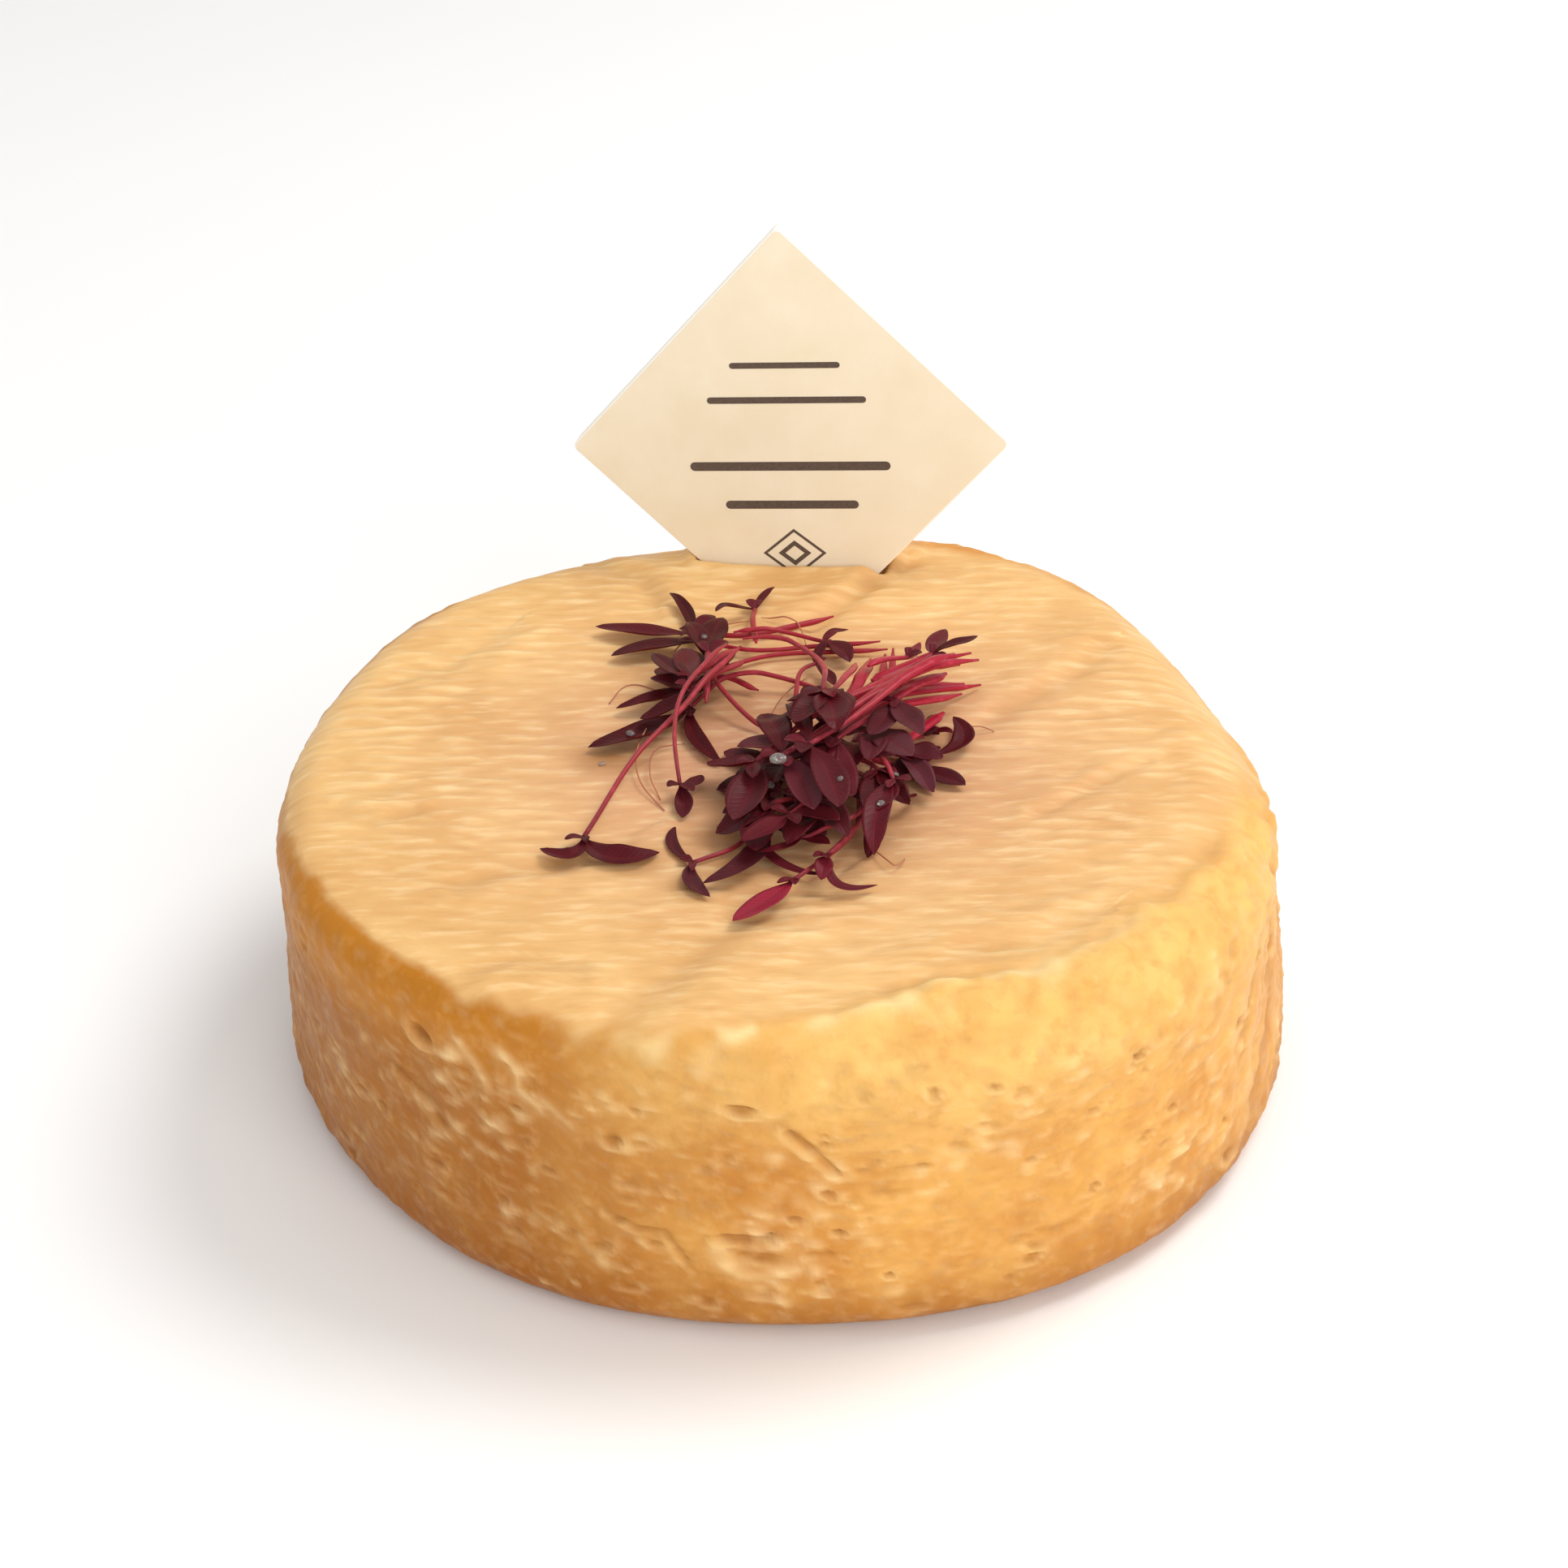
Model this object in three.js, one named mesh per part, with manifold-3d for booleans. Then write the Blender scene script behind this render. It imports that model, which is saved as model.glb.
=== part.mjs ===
// A washed-rind cheese wheel, a thin card standing in a slit near its back edge and
// a garnish of red seedlings piled on top. Millimetres, +Z up, the origin at the
// middle of the flat base, the front towards -Y.
import * as THREE from 'three';
import { mergeVertices } from 'three/addons/utils/BufferGeometryUtils.js';
import Module from 'manifold-3d';

const wasm = await Module();
wasm.setup();

// The wheel: size, roundings, slope of the top and the hand-made lobes of its outline.
const wheelRadius = 75;
const wheelHeight = 51.5;
const rimRound = 11;
const footRound = 6;
const sideBulge = 0.3;
const topSlopeX = -0.032;
const topSlopeY = 0.02;
const topLobes = [[2, 1.5, -78], [3, 1.6, -53], [4, 1.3, -45], [5, 1.05, -9]];
const footLobes = [[2, 2.4, -31], [3, 0.2, -33], [4, 1.1, 1], [5, 1.3, 20]];
const humpHeight = 1.3;
const humpCentre = [5, 59];
const humpSpread = [12, 7];
const wheelSegments = 80;
const footSteps = 5;
const sideSteps = 4;
const rimSteps = 7;
const topRings = [59, 53, 43, 31, 17];
const rindColour = 0xdfb06a;

// The card: a square stood on one corner, the lowest corner buried in the wheel.
const cardSide = 51.7;
const cardThickness = 2.2;
const cardCornerRound = 1.2;
const cardCentre = [5.3, 62.2, 73.1];
const cardYaw = -12;
const cardLean = 8;
const cardRoll = 1.8;
const cardColour = 0xf3e4c8;

// The garnish. Each seedling: its stem from the cut end to the seed leaves, in plan;
// the stem's radius; then its leaves as tip x, tip y, width, sideways bow, lift of
// the tip and sideways bank. Listed in the order they were dropped on the pile.
const gap = 0.3;
const margin = 0.1;
const leafThickness = 0.4;
const stemSides = 5;
const stemSteps = 9;
const leafSteps = 6;
const stemSlope = 0.42;
const leafSlope = 0.7;
const stalkShare = 0.06;
const stalkHalf = 0.3;
const cellSize = 0.5;
const fieldHalf = 60;
const stretchStep = 0.45;
const columnStep = 0.6;
const underReach = 0.6;
const stampReach = 0.55;
const bendEase = 0.8;
const smoothPasses = 4;
const seedlingColour = 0x6a1c26;
const seedlings = [
  // left clump: stems running right, seed leaves at the left
  [[[10.5, 38.5], [4, 36], [-4, 33.5], [-12, 35]], 0.5,
    [-27.4, 37, 3.7, 0.6, 1, 0.1], [-15.6, 46.5, 1.8, -1, 2, 0]],
  [[[17.5, 30], [8, 29.5], [-3, 28.5], [-11, 31]], 0.4,
    [-24.8, 28, 3.9, -0.8, 0.5, 0.15], [-8.5, 37.5, 3.2, 0.6, 1, 0]],
  [[[18.5, 27.4], [9, 27.4], [0, 27], [-8.5, 23]], 0.4,
    [-17, 13.5, 3.8, 0.8, 0, 0], [-14, 32, 3.4, -1, 1, 0.1]],
  [[[-2, 16], [-7, 19], [-12, 17]], 0.4, [-23.8, 11.8, 2.7, 1, 0.5, 0.1], [-17.4, 23, 4, 0.5, 1, 0]],
  [[[12, 11.5], [4, 16.5], [-5, 18], [-12.5, 11.5]], 0.4,
    [-27.8, 0.5, 5, 2, 0.5, 0.12], [-8, -5.5, 2.4, -1.6, 0.5, 0]],
  [[[-1, 4], [-4, 7], [-7.5, 12], [-9, 16]], 0.4,
    [-13.6, 26, 4, 0.5, 1, 0], [-6.5, 25, 3, -0.6, 1, -0.1]],
  [[[-2, 28], [-2.4, 36], [-2, 42]], 0.5, [1.4, 48.5, 1.1, 0.5, 1, 0], [-8.2, 36, 1.3, -1, 0.5, 0]],
  [[[-5.5, 30], [2, 30.4], [8.5, 28.5]], 0.4,
    [12.4, 23.2, 3, 0.6, 0.5, 0.1], [12.6, 32, 1.1, 1, 1.5, 0]],
  [[[1.5, 3.5], [3.5, 10.5], [4.5, 17], [7, 21.8]], 0.4,
    [9.6, 16.6, 1.7, 0.5, 0.5, 0], [9.2, 26, 1.4, 0.5, 1, 0]],
  [[[-10, 8], [-9.6, 14], [-9.4, 21]], 0.5, [-7, 32.5, 4, 0.5, 1, 0], [-12.5, 30, 3.4, -0.4, 1.5, 0.1]],
  [[[-4, 19.6], [-7, 13.6], [-12, 8.6]], 0.45,
    [-18.4, 16.6, 3.6, -0.8, 1, 0], [-20, 5.6, 3, 0.6, 0.5, 0]],
  [[[-5.2, 21.4], [-8, 16], [-11.6, 11]], 0.5, [-12.6, 22, 3.8, 0.6, 1, 0], [-18, 21, 3, 0.4, 1.5, 0]],
  // long stems running down the front from the left clump
  [[[-4.4, 18], [-8, 11.4], [-13, 3.8], [-20, -5], [-27.8, -24]], 0.45,
    [-34, -26.5, 2.6, 3.6, 0.3, 0], [-17, -28.8, 4, -3.6, 0.3, 0.1]],
  [[[-6.4, 18], [-10.2, 10], [-13.8, 2], [-14.6, -6], [-14, -13.5]], 0.38,
    [-13.8, -20, 2.4, 0.4, 0.3, 0], [-11, -9.2, 2, -0.6, 1, 0]],
  // the lowest seedlings of the middle clump, reaching out to the front
  [[[2, -14], [-3, -22], [-6.5, -28], [-12.3, -31.3]], 0.4,
    [-14.8, -22.3, 1.5, 1.6, 0.5, 0], [-10, -40.4, 2.1, -1.5, 0.3, 0]],
  [[[1, -10], [-1, -17], [-3, -23]], 0.45, [-11, -38.2, 3.7, 3.6, 0, 0.1], [6.5, -36, 1.4, -3.6, 0, 0]],
  [[[12, -10], [11, -24], [7.5, -31.5], [1.8, -38.2]], 0.4, [-7, -46.6, 3.9, 0.4, 0.3, 0.1]],
  [[[14, -8], [12.5, -22], [9.2, -30.5], [6.6, -34.6]], 0.5,
    [5.4, -39, 2.3, 0, 0.2, 0], [13.2, -39.2, 1.3, -3.6, 0.5, 0]],
  [[[14, -20], [9.6, -27.4], [3, -29]], 0.4, [-3.2, -32.6, 1.1, 0.8, 0, 0], [7, -31, 1.8, 0.3, 0, 0]],
  // the right-hand end
  [[[12, -12], [13, -17], [14.6, -21.4]], 0.4,
    [19.9, -15.6, 1.2, -1.6, 0.5, 0], [12.2, -31.5, 2.8, 0.4, 0, 0]],
  [[[14, -5], [17, -7], [20, -8]], 0.45,
    [27.4, -14, 3.2, 0.3, 0.5, 0.1], [22.8, -14.8, 1.3, -0.3, 0, 0]],
  [[[15, -2], [19, -4.4], [22.8, -5.4]], 0.45,
    [27, 4.2, 3, -3.3, 1.5, 0], [17.5, -12.6, 3.4, -0.6, 0.5, 0]],
  [[[16, -1], [19, 0.6], [22.3, 1]], 0.4,
    [24.6, 5.6, 1.4, 0.3, 1.5, 0], [26.6, -1.4, 1.1, 0.4, 0.3, 0]],
  // the middle clump, from the bottom up; the long stems fan out to the right
  [[[6, -13], [4, -15], [1, -17]], 0.4, [-8, -21, 5, 0.8, 0, 0], [6.6, -26, 4.6, -0.6, 0, 0]],
  [[[12, -11], [9, -13], [6.5, -15]], 0.4, [3, -27, 4.8, 0.8, 0, 0], [12, -23.5, 4.4, 0.6, 0, 0]],
  [[[4, -20], [1.5, -21], [-1, -22]], 0.4, [-9, -27, 5, 0.7, 0.3, 0], [-3.4, -33.6, 4.8, -0.6, 0, 0]],
  [[[9, -16], [7, -19], [5, -21]], 0.4, [1, -32, 5, 0.6, 0, 0], [9.6, -32, 4.2, -0.4, 0, 0]],
  [[[12, -12], [13.6, -14], [14.6, -17]], 0.4,
    [12.4, -28, 4, 0.5, 0, 0], [18.6, -26, 3.2, -0.5, 0.3, 0]],
  [[[2, -2], [0.5, -5], [-0.5, -9]], 0.4, [-8.8, -12.5, 5, 0.8, 0.5, 0], [-7.6, -2, 4.4, -0.6, 0.5, 0]],
  [[[4, -25], [3, -26], [1.6, -27.4]], 0.4,
    [-5.4, -32.6, 3.8, 0.6, 0.3, 0], [8.6, -30, 3.4, 0.5, 0, 0]],
  [[[15, -15], [16, -18], [16.6, -22]], 0.4,
    [13, -35.5, 3.8, -0.8, 0, 0], [13.4, -29, 3.4, 0.4, 0.3, 0]],
  [[[25.6, 4.6], [21, -1.6], [18, -8]], 0.5,
    [24, -10, 4.4, 0.4, 0.6, 0], [22.4, -17.4, 3.2, 0.4, 0.3, 0]],
  [[[18, 25.5], [16.4, 13], [14, 3], [11.6, -4]], 0.65,
    [17.8, 0, 3.8, 0.5, 0.6, 0], [11, -16, 4.4, 0.4, 0.3, 0]],
  [[[19.2, 24], [18, 11], [16.4, 1], [14.6, -6.5]], 0.55,
    [19.6, -18, 4.8, -0.6, 0.3, 0.1], [13.2, -18, 4, 0.5, 0, 0]],
  [[[29.5, 15.5], [21, 8.5], [12.5, 1], [5.6, -4]], 0.5,
    [-5.6, -3, 5, -0.6, 0.8, 0.1], [4.8, -14, 4.6, 0.6, 0, 0]],
  [[[29, 17.5], [20, 9.5], [12, 1.6], [4.6, -6]], 0.5,
    [-6, -11, 4.8, 0.5, 0.3, 0], [-1, -17, 4.8, -0.6, 0, 0]],
  [[[32, 15], [24.5, 8.6], [16, 0], [8, -8.5]], 0.5,
    [6.6, -20, 4.6, -0.6, 0, 0], [-2, -12.6, 4.4, 0.8, 0, 0]],
  [[[15.5, 20], [14.4, 10], [12, 1], [8, -5]], 0.6,
    [-1.6, 0, 4.4, -0.5, 0.5, 0], [5.4, -16, 4.6, 0.6, 0, 0]],
  [[[28.6, 8.6], [22, 2], [14, -6.5], [9, -12.5]], 0.5,
    [2.6, -22, 4.8, 0.6, 0, 0], [10.6, -24.6, 4.2, -0.5, 0, 0]],
  [[[26.4, 9.5], [22, 4], [18, -3.4]], 0.6, [13.6, -12.6, 4, 0.6, 0, 0], [21.4, -13, 4, -0.5, 0.3, 0]],
  [[[30.4, 12.4], [22, 5.6], [12, -2.6], [4, -9.6], [-2.8, -15.5]], 0.5,
    [-6.4, -28, 5.6, 0.6, 0.3, 0], [-10, -8.6, 4.6, -0.5, 1, 0.1]],
  [[[31.4, 11], [23.4, 3.8], [14, -5], [6, -13], [1, -17.6]], 0.55,
    [5, -29.4, 4.8, 0.8, 0.3, 0.1], [-1.8, -6.5, 4.6, -0.7, 0.6, 0]],
  [[[27.4, 5.4], [20, -1.4], [12.6, -9.6], [5, -17.5]], 0.5,
    [8.4, -31, 4.8, 0.8, 0.3, -0.1], [2.2, -6.4, 2.8, -0.4, 0.8, 0]],
  [[[13, 14.5], [12, 7], [9, -3]], 0.4, [2.2, 1, 3.4, 0.6, 0.3, 0], [9.6, -13, 4, 0.6, 0, 0]],
  [[[-4, 18], [1.5, 18], [6, 11], [8, 2.6], [7.4, -5.6]], 0.4,
    [8.8, -17, 5.4, 0.5, 0.2, 0], [2.8, -14.6, 4.2, 0.5, 0.2, 0]],
  // upright leaves at the back of the fan
  [[[15, 4], [19, 7], [24.4, 10]], 0.5, [27.2, 21, 2.8, 0.5, 3.5, 0], [31.6, 14, 1.7, -0.4, 1, 0]],
  [[[14.6, 6], [17.6, 10], [21, 13.6]], 0.4, [23.4, 23.6, 1.7, 0.4, 3.5, 0]],
];

const radians = (degrees) => degrees * Math.PI / 180;

// How far the hand-made outline stands out from a true circle, as a factor on the radius.
function lobeFactor(angle, level) {
  let out = 1;
  for (const [waves, size, bearing] of topLobes) {
    out += level * size / wheelRadius * Math.cos(waves * (angle - radians(bearing)));
  }
  const calmBack = 1 - 0.6 * Math.max(0, Math.sin(angle)) ** 2;
  for (const [waves, size, bearing] of footLobes) {
    const wave = size / wheelRadius * Math.cos(waves * (angle - radians(bearing)));
    out += calmBack * (1 - level) * wave;
  }
  return out;
}

// Height after the slope of the top and the swelling at the card's foot.
function settledHeight(x, y, z) {
  const dx = (x - humpCentre[0]) / humpSpread[0];
  const dy = (y - humpCentre[1]) / humpSpread[1];
  const hump = humpHeight * Math.exp(-dx * dx - dy * dy) * (z / wheelHeight) ** 8;
  return z * (1 + (topSlopeX * x + topSlopeY * y) / wheelRadius) + hump;
}

// A closed geometry as a solid that can be joined and cut.
function solidOf(geometry) {
  geometry.deleteAttribute('normal');
  geometry.deleteAttribute('uv');
  const merged = mergeVertices(geometry, 1e-4);
  const corners = merged.index.array;
  const triangles = [];
  for (let i = 0; i < corners.length; i += 3) {
    const [a, b, c] = [corners[i], corners[i + 1], corners[i + 2]];
    if (a !== b && b !== c && c !== a) {
      triangles.push(a, b, c);
    }
  }
  return new wasm.Manifold(new wasm.Mesh({
    numProp: 3,
    vertProperties: Float32Array.from(merged.attributes.position.array),
    triVerts: Uint32Array.from(triangles),
  }));
}

// The finished mesh of a solid.
function geometryOf(solid) {
  const { vertProperties, triVerts } = solid.getMesh();
  const geometry = new THREE.BufferGeometry();
  geometry.setAttribute('position', new THREE.Float32BufferAttribute(vertProperties, 3));
  geometry.setIndex([...triVerts]);
  geometry.computeVertexNormals();
  return geometry;
}

// Moves every vertex of a geometry to where the function says.
function reshape(geometry, move) {
  const positions = geometry.attributes.position;
  const point = new THREE.Vector3();
  for (let i = 0; i < positions.count; i += 1) {
    point.fromBufferAttribute(positions, i);
    positions.setXYZ(i, ...move(point));
  }
  return geometry;
}

// Half of the wheel's section, from the middle of the base to the middle of the top.
function wheelProfile() {
  const high = wheelHeight - rimRound;
  const points = [new THREE.Vector2(0, 0)];
  for (let i = 0; i <= footSteps; i += 1) {
    const a = i / footSteps * Math.PI / 2;
    const inset = footRound * (1 - Math.sin(a));
    points.push(new THREE.Vector2(wheelRadius - inset, footRound * (1 - Math.cos(a))));
  }
  for (let i = 1; i < sideSteps; i += 1) {
    const t = i / sideSteps;
    const bulge = sideBulge * Math.sin(Math.PI * t);
    points.push(new THREE.Vector2(wheelRadius + bulge, footRound + (high - footRound) * t));
  }
  for (let i = 0; i <= rimSteps; i += 1) {
    const a = i / rimSteps * Math.PI / 2;
    const inset = rimRound * (1 - Math.cos(a));
    points.push(new THREE.Vector2(wheelRadius - inset, high + rimRound * Math.sin(a)));
  }
  for (const radius of [...topRings, 0]) {
    points.push(new THREE.Vector2(radius, wheelHeight));
  }
  return points;
}

// The wheel is turned, pushed out of round by hand, then slit for the card.
function makeWheel() {
  const turned = new THREE.LatheGeometry(wheelProfile(), wheelSegments);
  turned.rotateX(Math.PI / 2);
  reshape(turned, ({ x, y, z }) => {
    const factor = lobeFactor(Math.atan2(y, x), z / wheelHeight);
    return [x * factor, y * factor, settledHeight(x * factor, y * factor, z)];
  });
  const slit = makeCard(gap).applyMatrix4(cardPlace());
  return geometryOf(solidOf(turned).subtract(solidOf(slit)));
}

// The card as a rounded square, grown on every side when it is used to cut its slit.
function makeCard(grow) {
  const round = cardCornerRound + grow;
  const cornerReach = (cardSide / 2 - cardCornerRound) * Math.SQRT2;
  const outline = new THREE.Shape();
  for (let corner = 0; corner < 4; corner += 1) {
    const towards = corner * Math.PI / 2;
    const x = cornerReach * Math.cos(towards);
    const y = cornerReach * Math.sin(towards);
    outline.absarc(x, y, round, towards - Math.PI / 4, towards + Math.PI / 4, false);
  }
  outline.closePath();
  const depth = cardThickness + 2 * grow;
  const card = new THREE.ExtrudeGeometry(outline, { depth, bevelEnabled: false, curveSegments: 3 });
  return card.translate(0, 0, -depth / 2);
}

// Where the card stands: turned, leant back and rolled a little off square.
function cardPlace() {
  const place = new THREE.Matrix4().makeTranslation(...cardCentre);
  place.multiply(new THREE.Matrix4().makeRotationZ(radians(cardYaw)));
  place.multiply(new THREE.Matrix4().makeRotationX(radians(90 - cardLean)));
  return place.multiply(new THREE.Matrix4().makeRotationZ(radians(cardRoll)));
}

// A height field over the wheel's top that rises as each seedling is laid on it.
function makeField() {
  const count = Math.round(2 * fieldHalf / cellSize) + 1;
  const heights = new Float64Array(count * count);
  for (let j = 0; j < count; j += 1) {
    for (let i = 0; i < count; i += 1) {
      const x = i * cellSize - fieldHalf;
      const y = j * cellSize - fieldHalf;
      heights[j * count + i] = settledHeight(x, y, wheelHeight);
    }
  }
  return { count, heights };
}

// Visits every cell of the field within a radius of a point.
function cellsWithin(field, x, y, radius, visit) {
  const i0 = Math.ceil((x - radius + fieldHalf) / cellSize);
  const i1 = Math.floor((x + radius + fieldHalf) / cellSize);
  const j0 = Math.ceil((y - radius + fieldHalf) / cellSize);
  const j1 = Math.floor((y + radius + fieldHalf) / cellSize);
  for (let j = j0; j <= j1; j += 1) {
    for (let i = i0; i <= i1; i += 1) {
      const dx = i * cellSize - fieldHalf - x;
      const dy = j * cellSize - fieldHalf - y;
      if (dx * dx + dy * dy <= radius * radius) {
        visit(j * field.count + i);
      }
    }
  }
}

// The highest point of the field within a radius.
function heightUnder(field, x, y, radius) {
  let highest = -Infinity;
  cellsWithin(field, x, y, radius, (cell) => {
    highest = Math.max(highest, field.heights[cell]);
  });
  return highest;
}

// A stem's line in plan through its hand-placed points, evenly spaced.
function stemLine(points) {
  const curve = new THREE.CatmullRomCurve3(points.map(([x, y]) => new THREE.Vector3(x, y, 0)));
  return curve.getSpacedPoints(stemSteps).map((p) => [p.x, p.y]);
}

// A leaf's midline in plan: a bow from the stem's end to the tip.
function leafLine(base, tipX, tipY, bow) {
  const dx = tipX - base[0];
  const dy = tipY - base[1];
  const length = Math.hypot(dx, dy);
  const controlX = (base[0] + tipX) / 2 - 2 * bow * dy / length;
  const controlY = (base[1] + tipY) / 2 + 2 * bow * dx / length;
  const line = [];
  for (let i = 0; i <= leafSteps; i += 1) {
    const t = i / leafSteps;
    const a = (1 - t) * (1 - t);
    const b = 2 * t * (1 - t);
    const c = t * t;
    line.push([a * base[0] + b * controlX + c * tipX, a * base[1] + b * controlY + c * tipY]);
  }
  return line;
}

// Half the width of a seed leaf along its length: a short stalk, then a lance shape.
function leafHalfWidth(t, width) {
  const blade = (t - stalkShare) / (1 - stalkShare);
  if (blade <= 0 || blade >= 1) {
    return stalkHalf;
  }
  return stalkHalf + (width / 2 - stalkHalf) * Math.sin(Math.PI * blade ** 0.85) ** 0.8;
}

// Unit direction across a line in plan, to the left of the way it runs.
function acrossLine(line, i) {
  const a = line[Math.max(0, i - 1)];
  const b = line[Math.min(line.length - 1, i + 1)];
  const length = Math.hypot(b[0] - a[0], b[1] - a[1]);
  return [-(b[1] - a[1]) / length, (b[0] - a[0]) / length];
}

// One limb of a seedling: its places in plan, how far each reaches sideways and how
// far the limb may have sunk by there, as it slopes away from where it is held up.
function makeLimb(line, slope, reach, thickness, bank) {
  let cost = 0;
  return line.map(([x, y], i) => {
    if (i > 0) {
      cost += slope * Math.hypot(x - line[i - 1][0], y - line[i - 1][1]);
    }
    const half = reach(i / (line.length - 1));
    return { x, y, across: acrossLine(line, i), cost, half, thickness, bank };
  });
}

// Sideways offsets that cover a place from edge to edge.
function columnsOf(place) {
  const spread = Math.max(0, place.half - stalkHalf);
  const count = Math.max(1, Math.ceil(spread / columnStep));
  const columns = [];
  for (let k = -count; k <= count; k += 1) {
    columns.push(spread * k / count);
  }
  return columns;
}

// A place part of the way from one place of a limb to the next.
function placeBetween(a, b, t) {
  const mix = (from, to) => from + (to - from) * t;
  return {
    x: mix(a.x, b.x), y: mix(a.y, b.y), z: mix(a.z, b.z), half: mix(a.half, b.half),
    across: [mix(a.across[0], b.across[0]), mix(a.across[1], b.across[1])],
    thickness: mix(a.thickness, b.thickness), bank: mix(a.bank, b.bank),
  };
}

// Closely spaced places from one place of a limb to the next.
function stretchOf(limb, i) {
  const a = limb[i];
  const b = limb[i + 1];
  const steps = Math.max(1, Math.ceil(Math.hypot(b.x - a.x, b.y - a.y) / stretchStep));
  return Array.from({ length: steps + 1 }, (_, k) => placeBetween(a, b, k / steps));
}

// The lowest height a place can take without touching what already lies there.
function lowestHeight(field, place) {
  let lowest = -Infinity;
  for (const s of columnsOf(place)) {
    const x = place.x + place.across[0] * s;
    const y = place.y + place.across[1] * s;
    const under = heightUnder(field, x, y, underReach);
    lowest = Math.max(lowest, under + gap + margin + place.thickness / 2 - place.bank * s);
  }
  return lowest;
}

// The lowest height of every place, so that the stretches between them clear as well.
function findLowest(field, limb) {
  limb.forEach((place) => {
    place.lowest = -Infinity;
  });
  for (let i = 0; i + 1 < limb.length; i += 1) {
    const lowest = Math.max(...stretchOf(limb, i).map((place) => lowestHeight(field, place)));
    limb[i].lowest = Math.max(limb[i].lowest, lowest);
    limb[i + 1].lowest = Math.max(limb[i + 1].lowest, lowest);
  }
}

// The limbs of a seedling before it is laid down: the stem, then the leaves.
function limbsOf([points, radius, ...leaves]) {
  const stem = makeLimb(stemLine(points), stemSlope, () => radius, 2 * radius, 0);
  const end = { ...stem[stemSteps] };
  stem.forEach((place) => {
    place.cost -= end.cost;
  });
  const blades = leaves.map(([x, y, width, bow, , bank]) => {
    const line = leafLine([end.x, end.y], x, y, bow);
    const reach = (t) => leafHalfWidth(t, width);
    const blade = makeLimb(line, leafSlope, reach, leafThickness, bank);
    blade[0].thickness = 2 * radius;
    blade[0].bank = 0;
    return blade;
  });
  return [stem, ...blades];
}

// Every place is held up by the highest thing under the seedling, less with distance.
function holdUp(limbs) {
  const places = limbs.flatMap((limb, k) => limb.map((place) => [place, k]));
  for (const [place, k] of places) {
    place.z = -Infinity;
    for (const [other, m] of places) {
      const apart = k > 0 && m > 0 && k !== m;
      const cost = apart ? place.cost + other.cost : Math.abs(place.cost - other.cost);
      place.z = Math.max(place.z, other.lowest - cost * cost / (cost + bendEase));
    }
  }
}

// Fills the hollows of a limb, never lowering it.
function smoothLimb(limb) {
  for (let pass = 0; pass < smoothPasses; pass += 1) {
    for (let i = 1; i + 1 < limb.length; i += 1) {
      limb[i].z = Math.max(limb[i].z, (limb[i - 1].z + limb[i + 1].z) / 2);
    }
  }
}

// Lays one seedling on the pile: it bends a little, never through what lies below.
function settleSeedling(field, seedling) {
  const limbs = limbsOf(seedling);
  const [, radius, ...leaves] = seedling;
  limbs.forEach((limb) => findLowest(field, limb));
  holdUp(limbs);
  limbs.forEach(smoothLimb);
  const [stem, ...blades] = limbs;
  blades.forEach((blade, k) => {
    const lift = leaves[k][4];
    blade.forEach((place, i) => {
      place.z += lift * (i / leafSteps) ** 1.6;
    });
  });
  return { stem, radius, blades };
}

// Raises the height field to the top of a laid limb.
function stampLimb(field, limb) {
  for (let i = 0; i + 1 < limb.length; i += 1) {
    for (const place of stretchOf(limb, i)) {
      for (const s of columnsOf(place)) {
        const top = place.z + place.bank * s + place.thickness / 2;
        const x = place.x + place.across[0] * s;
        const y = place.y + place.across[1] * s;
        cellsWithin(field, x, y, stampReach, (cell) => {
          field.heights[cell] = Math.max(field.heights[cell], top);
        });
      }
    }
  }
}

// A closed tube laid along a limb: a cylinder whose every row is moved to its place,
// each corner of the row where the section says.
function tubeAlong(limb, sides, section) {
  const steps = limb.length - 1;
  const tube = new THREE.CylinderGeometry(1, 1, 1, sides, steps);
  return reshape(tube, ({ x, y, z }) => {
    const row = Math.round((0.5 - y) * steps);
    const place = limb[row];
    const reach = Math.hypot(x, z);
    const angle = Math.atan2(z, x);
    const [side, up, lean] = section(place, row, angle);
    return [
      place.x + reach * place.across[0] * side + reach * lean[0] * up,
      place.y + reach * place.across[1] * side + reach * lean[1] * up,
      place.z + reach * (place.bank * side + up),
    ];
  });
}

// A stem is round, square to the way it runs.
function makeStem(stem, radius) {
  return tubeAlong(stem, stemSides, (place, row, angle) => {
    const before = stem[Math.max(0, row - 1)];
    const after = stem[Math.min(stem.length - 1, row + 1)];
    const run = Math.hypot(after.x - before.x, after.y - before.y);
    const rise = (after.z - before.z) / run;
    const along = [(after.x - before.x) / run, (after.y - before.y) / run];
    const upright = radius / Math.hypot(1, rise) * Math.sin(angle);
    return [radius * Math.cos(angle), upright, along.map((part) => -rise * part)];
  });
}

// A leaf is thin, thickest along its midline, and narrows to a point.
function makeLeaf(limb, radius) {
  return tubeAlong(limb, 4, (place, row, angle) => {
    const ends = { 0: [radius * 0.7, radius / 2], [leafSteps]: [0.08, 0.05] };
    const [half, thick] = ends[row] ?? [place.half, leafThickness / 2];
    return [half * Math.cos(angle), thick * Math.sin(angle), [0, 0]];
  });
}

// A seedling grew in one piece, so its stem and leaves are joined.
function makeSeedling({ stem, radius, blades }) {
  const parts = [makeStem(stem, radius), ...blades.map((limb) => makeLeaf(limb, radius))];
  return geometryOf(parts.map(solidOf).reduce((whole, part) => whole.add(part)));
}

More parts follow.
